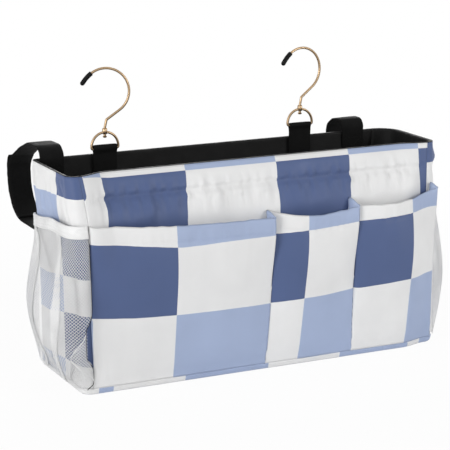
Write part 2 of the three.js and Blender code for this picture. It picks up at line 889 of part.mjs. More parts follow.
const baseBoardFoot = clothThickness + clearance;
const baseLiningFoot = baseBoardFoot + boardThickness + clearance;
caddy.add(
  piece('base_panel', basePanel(), printedCloth),
  piece(
    'base_board',
    plate([
      [baseEdgeRadius, baseBoardFoot],
      [baseEdgeRadius, baseBoardFoot + boardThickness],
    ]),
    boardGrey,
  ),
  piece(
    'base_lining',
    plate([
      [boardDepth, baseLiningFoot],
      [boardDepth, baseLiningFoot + liningThickness],
    ]),
    liningBlack,
  ),
);

const leftFront = frontPocket(leftPocket, leftEdge, seamAt(leftSeam));
const middleFront = frontPocket(middlePocket, seamAt(leftSeam), seamAt(rightSeam));
const rightFront = frontPocket(rightPocket, seamAt(rightSeam), rightEdge);
caddy.add(
  piece('left_front_pocket', leftFront, printedCloth),
  piece('middle_front_pocket', middleFront, printedCloth),
  piece('right_front_pocket', rightFront, printedCloth),
  piece('left_mesh_pocket', meshPocket(leftOutline, leftMesh), meshWhite),
  piece('right_mesh_pocket', meshPocket(rightOutline, rightMesh), meshWhite),
  piece('left_mesh_band', meshBand(leftOutline, leftMesh), whiteCloth),
  piece('right_mesh_band', meshBand(rightOutline, rightMesh), whiteCloth),
);

const wire = hookLine();
for (const [side, tab, angle] of [
  ['left', leftTab, leftHookAngle],
  ['right', rightTab, rightHookAngle],
]) {
  const ring = new THREE.Group();
  ring.position.set(tab.x, tabY, barHeight(tab));
  const hook = new THREE.Group();
  hook.position.z = ringArchHeight + barRadius + collarRise;
  hook.rotation.z = radians(angle);
  hook.add(
    piece(`${side}_hook`, hookBody(wire), paleGold),
    piece(`${side}_hook_cap`, hookCap(wire), rubberBlack),
  );
  ring.add(piece(`${side}_d_ring`, dRing(), paleGold), hook);
  caddy.add(piece(`${side}_ring_tab`, ringTab(tab), webbingBlack), ring);
}

for (const [side, x, loop] of [
  ['left', leftStrapX, leftLoop],
  ['right', rightStrapX, rightLoop],
]) {
  const line = strapLine(loop);
  const strap = new THREE.Group();
  strap.position.x = x;
  strap.add(
    piece(`${side}_strap_upper`, strapUpper(line, loop), webbingBlack),
    piece(`${side}_strap_lower`, strapLower(line, loop), webbingBlack),
    piece(`${side}_strap_sewn_end`, strapSewnEnd(), webbingBlack),
  );
  caddy.add(strap);
}

export default caddy;
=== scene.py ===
# %% [markdown]
# # A bedside caddy in printed cloth, net, webbing and wire
# This is a cloth bag with an open top. Boards stiffen its walls, the lining is
# black, three pockets cross the front and a net pocket bulges at each end. It hangs
# from two wire hooks on rings, or from two straps. The solids come from the CAD
# model; this lesson dresses them. Every size below is in millimetres and is turned
# into metres where a point is placed, so a number can be checked with a ruler.

import math

import bmesh
import bpy
from mathutils import Matrix, Vector, noise


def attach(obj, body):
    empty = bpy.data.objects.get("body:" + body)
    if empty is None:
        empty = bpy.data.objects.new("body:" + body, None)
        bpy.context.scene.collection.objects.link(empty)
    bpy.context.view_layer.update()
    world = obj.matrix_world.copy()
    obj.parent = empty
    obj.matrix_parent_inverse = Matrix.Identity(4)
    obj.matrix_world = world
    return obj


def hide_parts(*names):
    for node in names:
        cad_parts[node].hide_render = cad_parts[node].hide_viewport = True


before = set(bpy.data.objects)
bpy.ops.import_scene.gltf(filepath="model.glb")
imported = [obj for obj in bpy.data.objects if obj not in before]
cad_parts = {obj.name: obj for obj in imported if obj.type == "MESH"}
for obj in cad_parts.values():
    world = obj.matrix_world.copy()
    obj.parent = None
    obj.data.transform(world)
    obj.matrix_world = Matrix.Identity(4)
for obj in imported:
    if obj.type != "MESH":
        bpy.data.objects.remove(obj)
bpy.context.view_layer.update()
MM = 0.001

# %% [markdown]
# ## Camera, floor and light
# The picture was taken with a long lens from the front left, a little above the rim.
# The camera goes back along one direction from a point in the middle of the bag.
# The floor and the world look white to the camera and in reflections, while the
# cloth gets only the plain light of the lamps and a grey sky.

# %% The camera
CAMERA_AZIMUTH = math.radians(-26.1)
CAMERA_ELEVATION = math.radians(13.3)
CAMERA_DISTANCE = 1717.2
CAMERA_TARGET = Vector((-15.3, 0, 127.1))
LENS, SENSOR = 144, 36

back = Vector(
    (
        math.sin(CAMERA_AZIMUTH) * math.cos(CAMERA_ELEVATION),
        -math.cos(CAMERA_AZIMUTH) * math.cos(CAMERA_ELEVATION),
        math.sin(CAMERA_ELEVATION),
    )
)
camera = bpy.data.objects.new("Camera", bpy.data.cameras.new("Camera"))
camera.data.lens = LENS
camera.data.sensor_width = SENSOR
camera.data.clip_end = 100
camera.location = (CAMERA_TARGET + back * CAMERA_DISTANCE) * MM
camera.rotation_mode = "QUATERNION"
camera.rotation_quaternion = (-back).to_track_quat("-Z", "Y")
print("the camera is", round(CAMERA_DISTANCE), "mm from its target")
bpy.context.scene.collection.objects.link(camera)
bpy.context.scene.camera = camera
bpy.context.scene.view_settings.view_transform = "Standard"


# %% A short way to add shader nodes
def add(tree, kind, *values, **settings):
    """A new shader node: values go to its inputs in order, links or constants."""
    made = tree.nodes.new("ShaderNode" + kind)
    for key, value in settings.items():
        setattr(made, key, value)
    for place, value in zip(made.inputs, values):
        if isinstance(value, bpy.types.NodeSocket):
            tree.links.new(value, place)
        elif value is not None:
            place.default_value = value
    return made


def math_of(tree, operation, *values):
    return add(tree, "Math", *values, operation=operation).outputs[0]


def bare_material(name):
    """A material with nothing but its output node."""
    material = bpy.data.materials.new(name)
    material.use_nodes = True
    material.node_tree.nodes.clear()
    return material, material.node_tree, add(material.node_tree, "OutputMaterial")


def seen_directly(tree):
    """1 where the camera, a reflection or a clear surface looks at this."""
    path = add(tree, "LightPath").outputs
    seen = math_of(tree, "MAXIMUM", path["Is Camera Ray"], path["Is Glossy Ray"])
    return math_of(tree, "MAXIMUM", seen, path["Is Transmission Ray"])


# %% A short way to make an object from a bmesh
def object_from(bm, name, material):
    mesh = bpy.data.meshes.new(name)
    bm.to_mesh(mesh)
    bm.free()
    mesh.materials.append(material)
    made = bpy.data.objects.new(name, mesh)
    bpy.context.scene.collection.objects.link(made)
    return made


# %% The world
SKY_STRENGTH = 0.34

world = bpy.data.worlds.new("World")
world.use_nodes = True
sky = world.node_tree
sky.nodes.clear()
plain = add(sky, "Background", (1, 1, 1, 1), SKY_STRENGTH)
white = add(sky, "Background", (1, 1, 1, 1), 1.0)
both = add(sky, "MixShader", seen_directly(sky), plain.outputs[0], white.outputs[0])
sky.links.new(both.outputs[0], add(sky, "OutputWorld").inputs[0])
bpy.context.scene.world = world
print("grey sky of strength", SKY_STRENGTH)

# %% The floor
FLOOR_HALF_SIZE = 6
FLOOR_WHITE_NEAR = 0.95
WHITER_FROM, WHITE_BY = 0.3, 0.8

floor_paper, tree, out = bare_material("Pale floor")
paper = add(tree, "BsdfDiffuse", (0.88, 0.88, 0.88, 1))
glow = add(tree, "Emission", (1, 1, 1, 1), 1.0)
where = add(tree, "TexCoord").outputs["Object"]
distance = add(tree, "VectorMath", where, operation="LENGTH").outputs["Value"]
whiter = add(tree, "MapRange", distance, WHITER_FROM, WHITE_BY, FLOOR_WHITE_NEAR, 1.0)
share = math_of(tree, "MULTIPLY", seen_directly(tree), whiter.outputs[0])
both = add(tree, "MixShader", share, paper.outputs[0], glow.outputs[0])
tree.links.new(both.outputs[0], out.inputs[0])
bm = bmesh.new()
bmesh.ops.create_grid(bm, x_segments=1, y_segments=1, size=FLOOR_HALF_SIZE)
object_from(bm, "floor", floor_paper)

# %% The lamps
LAMPS = {
    "left lamp": ((-2.4, -0.8, 0.7), 1.0, 36),
    "right lamp": ((1.7, -2.0, 1.0), 0.8, 27),
    "front lamp": ((-0.6, -2.4, 0.8), 1.4, 6),
    "top lamp": ((0.2, 0.3, 2.0), 1.0, 3),
    "back lamp": ((0.9, 2.3, 0.8), 1.2, 24),
}
LAMP_AIM = Vector((0, 0, 0.1))

for name, (place, width, power) in LAMPS.items():
    data = bpy.data.lights.new(name, "AREA")
    data.size = width
    data.energy = power
    made = bpy.data.objects.new(name, data)
    made.location = place
    made.rotation_mode = "QUATERNION"
    made.rotation_quaternion = (LAMP_AIM - Vector(place)).to_track_quat("-Z", "Y")
    bpy.context.scene.collection.objects.link(made)
    print(name, power, "W")

# %% [markdown]
# ## The plan of the bag
# The ends flare towards the rim and the front leans in towards it, so the outline of
# the bag changes with height. The functions here give a point of that outline, and
# the direction that points outward there, for each wall: front, back and two ends.
# They hold the same sizes as the CAD model, so the cloth lands on the solids.

# %% Sizes and easing
BODY_HEIGHT = 198.0
RIM_HALF_WIDTH = 193.0
BASE_HALF_WIDTH = 187.5
BACK_DEPTH = 46.0
CORNER_RADIUS = 11.0
CORNER_START_SHARE = 0.84
BACK_RADIUS = {-1: 6.0, 1: 22.0}
FRONT_MIDDLE = (37.0, 63.5, 110.0)
FRONT_CORNER = {-1: (48.0, 63.5, 64.0), 1: (44.0, 57.0, 198.0)}
END_STRAIGHT = 92.0
BASE_BORDER = 6.0
CLOTH = 0.7
SIDES = {-1: "left", 1: "right"}


def mix(a, b, t):
    return a + (b - a) * t


def clamp(t):
    return min(1.0, max(0.0, t))


def smooth(t):
    t = clamp(t)
    return t * t * (3 - 2 * t)


def ease_out(t):
    return math.sin(math.pi / 2 * clamp(t))


def bell(distance, width):
    return math.exp(-((distance / width) ** 2))


def half_width(z):
    return mix(BASE_HALF_WIDTH, RIM_HALF_WIDTH, (max(z, 0) / BODY_HEIGHT) ** 3)


def seam_x(z):
    return half_width(z) - CORNER_RADIUS


def depth_at(profile, z):
    rim_depth, lower_depth, lean_height = profile
    return mix(rim_depth, lower_depth, ease_out((BODY_HEIGHT - z) / lean_height))


def front_y(x, z):
    nearness = (abs(x) / seam_x(z) - CORNER_START_SHARE) / (1 - CORNER_START_SHARE)
    corner = FRONT_CORNER[-1 if x < 0 else 1]
    return -mix(depth_at(FRONT_MIDDLE, z), depth_at(corner, z), smooth(nearness))


# %% Points of the outline
SLOPE_STEP = 0.3


def front_outline(share, z):
    """x, y and the outward direction, from the left seam to the right one."""
    x = mix(-seam_x(z), seam_x(z), share)
    rise = front_y(x + SLOPE_STEP, z) - front_y(x - SLOPE_STEP, z)
    slope = rise / (2 * SLOPE_STEP)
    length = math.hypot(slope, 1)
    return x, front_y(x, z), slope / length, -1 / length


def back_outline(share, z):
    left = -half_width(z) + BACK_RADIUS[-1]
    right = half_width(z) - BACK_RADIUS[1]
    return mix(left, right, share), BACK_DEPTH, 0.0, 1.0


def end_outline(side, share, z):
    """Round the front corner for shares 0 to 1, along the end to 2, then to the back."""
    radius = BACK_RADIUS[side]
    front_centre = front_y(side * seam_x(z), z) + CORNER_RADIUS
    back_centre = BACK_DEPTH - radius
    if share <= 1:
        angle = math.pi / 2 * share
        nx, ny = side * math.sin(angle), -math.cos(angle)
        x = side * seam_x(z) + CORNER_RADIUS * nx
        return x, front_centre + CORNER_RADIUS * ny, nx, ny
    if share <= 2:
        return side * half_width(z), mix(front_centre, back_centre, share - 1), side, 0.0
    angle = math.pi / 2 * (share - 2)
    nx, ny = side * math.cos(angle), math.sin(angle)
    x = side * (half_width(z) - radius) + radius * nx
    return x, back_centre + radius * ny, nx, ny


def end_wall_at(side):
    """The outline of one end, asked like the front's, with a share and a height."""
    return lambda share, z: end_outline(side, share, z)


def end_lengths(side):
    """Lengths of an end's three parts, for an even spacing of its cloth."""
    corner = math.pi / 2 * CORNER_RADIUS
    straight = END_STRAIGHT + BACK_RADIUS[-1] - BACK_RADIUS[side]
    return corner, straight, math.pi / 2 * BACK_RADIUS[side]


def end_share(side, length):
    for index, part in enumerate(end_lengths(side)):
        if length <= part:
            return index + length / part
        length -= part
    return 3.0


def end_length_at(side, share):
    parts = end_lengths(side)
    whole = int(min(share, 2))
    return sum(parts[:whole]) + parts[whole] * (share - whole)


# %% [markdown]
# ## The printed cloth
# The cloth is a woven polyester with a large check: dark blue squares, light blue
# squares and white between them. The check could be painted, but a picture isn't
# allowed and would blur close up. Instead each piece carries a map called print, in
# which one unit is one square, and the material asks whether a point's column and
# row are odd or even. A second map, cloth, is in millimetres and carries the weave.


# %% The check and the weave
THREAD_PITCH = 0.62
WHITE = (0.77, 0.77, 0.77, 1)
DARK_BLUE = (0.071, 0.106, 0.230, 1)
LIGHT_BLUE = (0.355, 0.428, 0.604, 1)


def is_even(tree, value):
    half = math_of(tree, "MULTIPLY", value, 0.5)
    return math_of(tree, "LESS_THAN", math_of(tree, "FRACT", half), 0.5)


def woven(tree, pitch, name="cloth"):
    """A height from 0 to 1 for threads that cross over and under each other."""
    along = add(tree, "UVMap", uv_map=name).outputs[0]
    split = add(tree, "SeparateXYZ", along).outputs
    turns = 2 * math.pi / pitch
    waves = [
        math_of(tree, "SINE", math_of(tree, "MULTIPLY", split[i], turns)) for i in (0, 1)
    ]
    crossed = math_of(tree, "MULTIPLY", waves[0], waves[1])
    return math_of(tree, "MULTIPLY_ADD", crossed, 0.5, 0.5), along


def mottled(tree, scale, low, high, detail=3.0):
    """A number between low and high that wanders over the piece."""
    where = add(tree, "TexCoord").outputs["Object"]
    cloud = add(tree, "TexNoise", where, None, scale, detail)
    return add(tree, "MapRange", cloud.outputs[0], 0.3, 0.7, low, high).outputs[0]


def tinted(tree, colour, factor):
    """The colour times a factor that varies over the piece."""
    return add(tree, "VectorMath", colour, factor, operation="MULTIPLY").outputs[0]


def bumped(tree, height, strength, distance, normal=None):
    made = add(tree, "Bump")
    made.inputs["Strength"].default_value = strength
    made.inputs["Distance"].default_value = distance
    tree.links.new(height, made.inputs["Height"])
    if normal:
        tree.links.new(normal, made.inputs["Normal"])
    return made.outputs[0]


def finished(tree, out, colour, rough, normal):
    """A principled shader for a colour, a roughness and bumps; gives its inputs."""
    shader = add(tree, "BsdfPrincipled")
    for key, value in (("Base Color", colour), ("Roughness", rough), ("Normal", normal)):
        tree.links.new(value, shader.inputs[key])
    tree.links.new(shader.outputs[0], out.inputs[0])
    return shader.inputs


def cloth_finish(tree, out, colour, rough, normal, sheen, shine):
    """Cloth has a soft sheen at grazing angles and little shine."""
    inputs = finished(tree, out, colour, rough, normal)
    inputs["Sheen Weight"].default_value = sheen
    inputs["Sheen Roughness"].default_value = 0.5
    inputs["Specular IOR Level"].default_value = shine


def creases(tree, along, across_scale, up_scale):
    """Long soft creases that run up the cloth."""
    stretched = add(tree, "Mapping", along)
    stretched.inputs["Scale"].default_value = (across_scale, up_scale, 1)
    return add(tree, "TexNoise", stretched.outputs[0], None, 1.0, 2.0).outputs[0]


# %% The printed cloth
printed_cloth, tree, out = bare_material("Printed cloth")
checks = add(tree, "SeparateXYZ", add(tree, "UVMap", uv_map="print").outputs[0]).outputs
evens = [is_even(tree, check) for check in checks[:2]]
odds = [math_of(tree, "SUBTRACT", 1.0, even) for even in evens]
both_even, both_odd = (math_of(tree, "MULTIPLY", *pair) for pair in (evens, odds))
colour = add(tree, "MixRGB", both_even, WHITE, DARK_BLUE).outputs[0]
colour = add(tree, "MixRGB", both_odd, colour, LIGHT_BLUE).outputs[0]
threads, along = woven(tree, THREAD_PITCH)
# Lighter on the threads' crowns and darker where they dip: painted shade of the weave,
# times a random tone
shade = math_of(tree, "MULTIPLY_ADD", threads, 0.06, 0.95)
shade = math_of(tree, "MULTIPLY", shade, mottled(tree, 22.0, 0.96, 1.03))
soft = bumped(tree, creases(tree, along, 0.07, 0.012), 0.35, 0.0012)
fine = bumped(tree, threads, 0.35, 0.00012, soft)
roughness = mottled(tree, 60.0, 0.46, 0.58)
cloth_finish(tree, out, tinted(tree, colour, shade), roughness, fine, 0.06, 0.33)

# %% [markdown]
# ## Plain cloths: the lining, the webbing, the binding and the net
# The lining is a thin black cloth, the webbing a coarser one with ribs across it, the
# binding a white elastic with fine ribs, and the net is knitted from a dull white
# yarn. They share one recipe, with their own colour, thread pitch and roughness.


# %% Plain woven materials
def dyed(tree, colour, factor):
    """One colour times a factor that varies over the piece."""
    rgb = add(tree, "RGB")
    rgb.outputs[0].default_value = (*colour, 1)
    return tinted(tree, rgb.outputs[0], factor)


def plain_cloth(name, colour, pitch, rough, depth, sheen=0.0, crease=0.25, shine=0.35):
    """Woven cloth: pitch of its threads in millimetres, their depth in metres."""
    material, tree, out = bare_material(name)
    threads, along = woven(tree, pitch)
    # Lighter on the threads' crowns and darker where they dip: painted shade of the weave,
    # times a random tone
    shade = math_of(tree, "MULTIPLY_ADD", threads, 0.25, 0.86)
    shade = math_of(tree, "MULTIPLY", shade, mottled(tree, 35.0, 0.9, 1.1))
    soft = bumped(tree, creases(tree, along, 0.09, 0.02), crease, 0.0012)
    fine = bumped(tree, threads, 0.5, depth, soft)
    roughness = mottled(tree, 80.0, rough - 0.06, rough + 0.06)
    cloth_finish(tree, out, dyed(tree, colour, shade), roughness, fine, sheen, shine)
    return material


BLACK_DYE = (0.0030, 0.0030, 0.0030)
lining_cloth = plain_cloth(
    "Black lining", BLACK_DYE, pitch=0.7, rough=0.6, depth=0.0001, crease=0.5, shine=0.17
)
webbing = plain_cloth("Black webbing", BLACK_DYE, 1.7, 0.75, 0.0003, 0.005, 0.1, 0.1)
binding = plain_cloth("White binding", WHITE[:3], 1.3, 0.75, 0.0002, 0.1, 0.1)
net_yarn = plain_cloth("White net yarn", (0.78, 0.78, 0.78), 0.5, 0.6, 0.0001, 0.1, 0.0)
# Black thread for the box stitches; this black also colours the cord that paints the shadow
# line along the left net's front edge
black_thread_and_shadow_line = plain_cloth(
    "Black thread and shadow line", (0.005, 0.005, 0.005), 0.4, 0.6, 0.00005, crease=0.0, shine=0.1
)
fibreboard = plain_cloth("Grey fibreboard", (0.24, 0.235, 0.225), 2.6, 0.9, 0.0001)

# %% [markdown]
# ## Metal and rubber
# The hooks and rings are steel wire plated in pale gold. Plating has very fine drawn
# lines and small dull patches, so the roughness wanders. The tips of the hooks wear
# a black rubber sleeve, slightly dusty. Both are one colour with fine grain, so one
# recipe serves them, and the metal is set on the shader's own sockets afterwards.


# %% Gold wire and rubber
def bare_finish(name, colour, tint, rough, grain):
    """Tint and rough are scales and limits of a wandering number; grain is a bump."""
    material, tree, out = bare_material(name)
    scale, detail, strength, depth = grain
    where = add(tree, "TexCoord").outputs["Object"]
    lines = add(tree, "TexNoise", where, None, scale, detail).outputs[0]
    base, roughness = dyed(tree, colour, mottled(tree, *tint)), mottled(tree, *rough)
    return material, finished(
        tree, out, base, roughness, bumped(tree, lines, strength, depth)
    )


pale_gold, inputs = bare_finish(
    "Pale gold plating",
    (0.37, 0.262, 0.16),
    tint=(40.0, 0.94, 1.03, 1.0),
    rough=(60.0, 0.3, 0.4, 1.0),
    grain=(900.0, 2.0, 0.03, 0.00002),
)
inputs["Metallic"].default_value = 1.0
inputs["Specular Tint"].default_value = (0.34, 0.25, 0.17, 1)
rubber, inputs = bare_finish(
    "Black rubber",
    (0.002, 0.002, 0.002),
    tint=(200.0, 0.8, 1.5),
    rough=(300.0, 0.5, 0.68),
    grain=(1500.0, 3.0, 0.2, 0.00008),
)
inputs["Specular IOR Level"].default_value = 0.13

# %% [markdown]
# ## Laying a sheet of cloth
# A flat grid is the simplest start for cloth. Each of its points knows how far
# across and how far up the sheet it lies, and one function sends it to its place.
# The maps are written at the same time, and a Solidify modifier gives the thickness
# on the inner side, so the outside stays where the CAD model has it.


# %% Pieces and the bodies that they ride on
def keep(piece, body, slot, *stands_for):
    """The piece moves with its body, and stands for these CAD nodes."""
    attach(piece, body)
    if stands_for:
        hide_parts(*stands_for)
    print(piece.name, "on", body, "has", len(piece.data.polygons), "faces")
    return piece


def sewn_in(piece, slot, node, size, held, rests_on, **more):
    """A sheet of the bag: it stands for a node; its flat size is not used."""
    keep(piece, "bag", slot, node)


# %% Cloth from a grid
def thickened(piece, thickness, offset=-1):
    """A sheet's thickness, inwards from its outside, or to both sides for 0."""
    wall = piece.modifiers.new("Thickness", "SOLIDIFY")
    wall.thickness = thickness * MM
    wall.offset = offset


def laid_cloth(name, steps, place, size, material, facing, printed=None, thickness=CLOTH):
    """A sheet: place and printed take the shares across and up it, from 0 to 1."""
    bm = bmesh.new()
    bmesh.ops.create_grid(bm, x_segments=steps[0], y_segments=steps[1], size=0.5)
    bm.verts.index_update()
    shares = [(v.co.x + 0.5, v.co.y + 0.5) for v in bm.verts]
    for v, (across, up) in zip(bm.verts, shares):
        v.co = Vector(place(across, up)) * MM
    cloth = bm.loops.layers.uv.new("cloth")
    check = bm.loops.layers.uv.new("print") if printed else None
    for face in bm.faces:
        face.smooth = True
        for loop in face.loops:
            across, up = shares[loop.vert.index]
            loop[cloth].uv = (across * size[0], up * size[1])
            if printed:
                loop[check].uv = printed(across, up)
    bm.normal_update()
    bm.faces.ensure_lookup_table()
    if bm.faces[steps[0] // 2].normal.dot(Vector(facing)) < 0:
        bmesh.ops.reverse_faces(bm, faces=bm.faces[:])
    made = object_from(bm, name, material)
    thickened(made, thickness)
    return made


# %% Smooth wandering numbers for folds
def ripple(position, seed, width):
    """A smooth number between about -1 and 1 that changes over a width."""
    return noise.noise(Vector((position / width, seed * 7.31, seed * 1.7))) * 1.6


def drape(x, z, seed, wide, tall):
    """The same over a surface, for folds of a width and a height."""
    return noise.noise(Vector((x / wide, z / tall, seed * 5.17))) * 1.6


# %% [markdown]
# ## The front wall
# The front is cut in one piece. Its top is folded and sewn down 22 mm below the rim,
# and the seam gathers the cloth, which leaves short puckers above and below it.
# Lower down the pockets hold the cloth against its board, so it lies flat there.

# %% The front wall
CASING_HEIGHT = 176.0
FRONT_COLUMNS_RIM = (-159.5, -75.0, 18.0, 96.6, 172.0)
FRONT_COLUMNS_LOW = (-160.0, -80.0, 15.0, 91.0, 171.0)
COLUMN_LOW_HEIGHT = 150.0
FRONT_ROWS = (64.0, 128.0, 193.0)
SQUARE = 82.0
CORNER_SLIVER = 4.0
# Below this height the pockets hold the front, and near the ends its seams do
FRONT_FREE_FROM = 138.0
SEAM_HOLD = 26.0
FRONT_PUFF = 2.6


def square_of(value, borders, first, length=SQUARE):
    """Where a value lies among borders, in squares: the first border counts as first."""
    if value < borders[0]:
        return first - min(0.99, (borders[0] - value) / length)
    for index in range(len(borders) - 1):
        if value < borders[index + 1]:
            span = borders[index + 1] - borders[index]
            return first + index + (value - borders[index]) / span
    return first + len(borders) - 1 + min(0.99, (value - borders[-1]) / length)


def front_relief(x, z):
    """How far the front's cloth stands out of its plain shape."""
    above = z - CASING_HEIGHT
    free = smooth((z - FRONT_FREE_FROM) / 22) * smooth((seam_x(z) - abs(x)) / SEAM_HOLD)
    gathers = 1.1 * ripple(x, 1, 6.5) + 0.8 * ripple(x, 2, 3.0)
    puckers = gathers * (0.6 * bell(above - 6, 7) + bell(above + 8, 10))
    puckers += 2.0 * ripple(x, 5, 4.6) * bell(above + 4.5, 3.2)
    puckers += 1.6 * ripple(x, 6, 5.2) * bell(above - 4.5, 3.0)
    puff = FRONT_PUFF * (1 - bell(above, 2.4)) * smooth((BODY_HEIGHT - z) / 8)
    slack = 1.0 + 1.5 * drape(x, z, 3, 46, 60) + 0.9 * drape(x, z, 4, 15, 34)
    return free * max(-0.15, puff + puckers + slack * smooth(-above / 14))


def on_wall(outline, share, z, out):
    x, y, nx, ny = outline(share, z)
    return x + nx * out, y + ny * out, z


def front_place(across, up):
    z = mix(BASE_BORDER, BODY_HEIGHT, up)
    x = mix(-seam_x(z), seam_x(z), across)
    return on_wall(front_outline, across, z, front_relief(x, z))


def front_columns(z):
    """The check was printed a little askew: its columns lean as they go down."""
    drop = clamp((BODY_HEIGHT - z) / (BODY_HEIGHT - COLUMN_LOW_HEIGHT))
    return [mix(a, b, drop) for a, b in zip(FRONT_COLUMNS_RIM, FRONT_COLUMNS_LOW)]


def front_print(across, up):
    z = mix(BASE_BORDER, BODY_HEIGHT, up)
    x = mix(-seam_x(z), seam_x(z), across)
    rows = (*FRONT_ROWS[:2], FRONT_ROWS[2] + 3.5 * smooth((-148 - x) / 30))
    corner = CORNER_SLIVER * smooth((z - CASING_HEIGHT) / 5) - 0.6 - seam_x(z)
    if x < corner:
        rows = (*rows[:2], BODY_HEIGHT + 10)
    return square_of(x, (corner, *front_columns(z)), -1), square_of(z, rows, -1)


FRONT_SIZE = (2 * seam_x(120), BODY_HEIGHT - BASE_BORDER)
front = laid_cloth(
    "front_wall", (200, 92), front_place, FRONT_SIZE, printed_cloth, (0, -1, 0), front_print
)
sewn_in(front, "printed_cloth", "front_panel", FRONT_SIZE, "stretched", ["front_board"])

# %% [markdown]
# ## The back wall and the two ends
# The back lies flat against its board. The ends wrap round the corners to meet the
# front and the back, and their cloth is a little loose above the net pockets. Their
# squares are smaller and drop slightly towards the back, as the cloth was cut.

# %% The back wall
BACK_COLUMNS = (-150.0, -68.0, 14.0, 96.0)
BACK_ROWS = (62.0, 128.0, 193.0)


def back_place(across, up):
    z = mix(BASE_BORDER, BODY_HEIGHT, up)
    x, y = back_outline(across, z)[:2]
    free = smooth(min(across, 1 - across) * 14) * smooth((BODY_HEIGHT - z) / 12)
    return x, y + free * max(-0.1, 0.35 * drape(x, z, 8, 60, 70)), z


def back_print(across, up):
    z = mix(BASE_BORDER, BODY_HEIGHT, up)
    x = back_outline(across, z)[0]
    return square_of(x, BACK_COLUMNS, 0), square_of(z, BACK_ROWS, -1)


BACK_SIZE = (2 * half_width(120) - sum(BACK_RADIUS.values()), BODY_HEIGHT - BASE_BORDER)
back_wall = laid_cloth(
    "back_wall", (120, 60), back_place, BACK_SIZE, printed_cloth, (0, 1, 0), back_print
)
sewn_in(back_wall, "printed_cloth", "back_panel", BACK_SIZE, "stretched", ["back_board"])

# %% The ends
END_COLUMN = -19.0
END_ROWS_FRONT = (26.0, 73.5, 107.0, 145.0, 179.0)
END_ROWS_BACK = (20.0, 60.0, 96.0, 146.0, 175.0)
END_BORDER_SPAN = (-50.0, 22.0)
END_SQUARE = (90.0, 40.0)
END_FREE_FROM = 150.0


def end_relief(side, share, z):
    """Loose cloth between the net pocket's mouth and the rim."""
    free = smooth((z - END_FREE_FROM) / 9) * smooth((BODY_HEIGHT - z) / 10)
    length = end_length_at(side, share)
    edge = smooth(length / 8) * smooth((sum(end_lengths(side)) - length) / 10)
    folds = 1.5 * drape(length, z, 11 + side, 14, 40) + 0.9 * drape(length, z, 14, 7, 18)
    if side > 0:
        folds += 3.4 * bell(z - 182, 5.5) * bell(length - 20, 9)
    else:
        folds += 2.1 * bell(length - 22 - (z - 152) * 0.35, 3.0) * bell(z - 166, 16)
        folds += 1.7 * bell(length - 62 + (z - 165) * 0.5, 3.5) * bell(z - 168, 14)
    return free * edge * max(-0.15, 1.3 + folds)


def end_wall(side, name):
    """The printed cloth of one end; its name is left_end or right_end."""
    total = sum(end_lengths(side))

    def place(across, up):
        z = mix(BASE_BORDER, BODY_HEIGHT, up)
        share = end_share(side, across * total)
        return on_wall(end_wall_at(side), share, z, end_relief(side, share, z))

    def printed(across, up):
        z = mix(BASE_BORDER, BODY_HEIGHT, up)
        y = end_outline(side, end_share(side, across * total), z)[1]
        slant = clamp((y - END_BORDER_SPAN[0]) / (END_BORDER_SPAN[1] - END_BORDER_SPAN[0]))
        rows = [mix(a, b, slant) for a, b in zip(END_ROWS_FRONT, END_ROWS_BACK)]
        return (END_COLUMN - y) / END_SQUARE[0], square_of(z, rows, 0, END_SQUARE[1])

    size = (total, BODY_HEIGHT - BASE_BORDER)
    facing = (side, 0, 0)
    made = laid_cloth(name + "_wall", (76, 92), place, size, printed_cloth, facing, printed)
    sewn_in(made, "printed_cloth", name + "_panel", size, "stretched", [name + "_board"])


for side, name in SIDES.items():
    end_wall(side, name + "_end")

# %% [markdown]
# ## The base
# The base is one piece of printed cloth turned up 6 mm round the foot of the walls.
# A round disc is laid to the plan of the bag, and its rim is extruded up and out
# through the rounded edge, then folded over at the top.

# %% The base
BASE_DEPTH = 112.0
BASE_EDGE_RADIUS = 2.5
UNDERSIDE = 0.5
BASE_ROW = -20.0
BORDER_SQUARE = 20.0
PLAN_SPACING = 3.0
BASE_FRONT_COLUMNS = (-172.6, -159.0, -87.0, -1.0, 76.0, 152.6, 168.6)


def plan_points(spacing):
    """Shares of the four walls in order round the bag, as outline calls."""
    walls = [
        (front_outline, 0, 1, 2 * seam_x(0)),
        (end_wall_at(1), 0, 3, sum(end_lengths(1))),
        (back_outline, 1, 0, 2 * half_width(0) - sum(BACK_RADIUS.values())),
        (end_wall_at(-1), 3, 0, sum(end_lengths(-1))),
    ]
    found = []
    for outline, start, end, length in walls:
        count = round(length / spacing)
        found += [(outline, mix(start, end, i / count)) for i in range(count)]
    return found


def ring_at(points, depth, z):
    """The plan's points at a height, moved inwards by a depth."""
    ring = []
    for outline, share in points:
        x, y, nx, ny = outline(share, z)
        ring.append(Vector((x - nx * depth, y - ny * depth, z)) * MM)
    return ring


def base_print(point):
    """Squares on the underside; the border is the middle of an odd row, 1.5."""
    x, y, z = (value / MM for value in point)
    if z < UNDERSIDE:
        return square_of(x, FRONT_COLUMNS_LOW, 0), square_of(y, (BASE_ROW,), 0)
    return square_of(x, BASE_FRONT_COLUMNS, -1, BORDER_SQUARE), 1.5


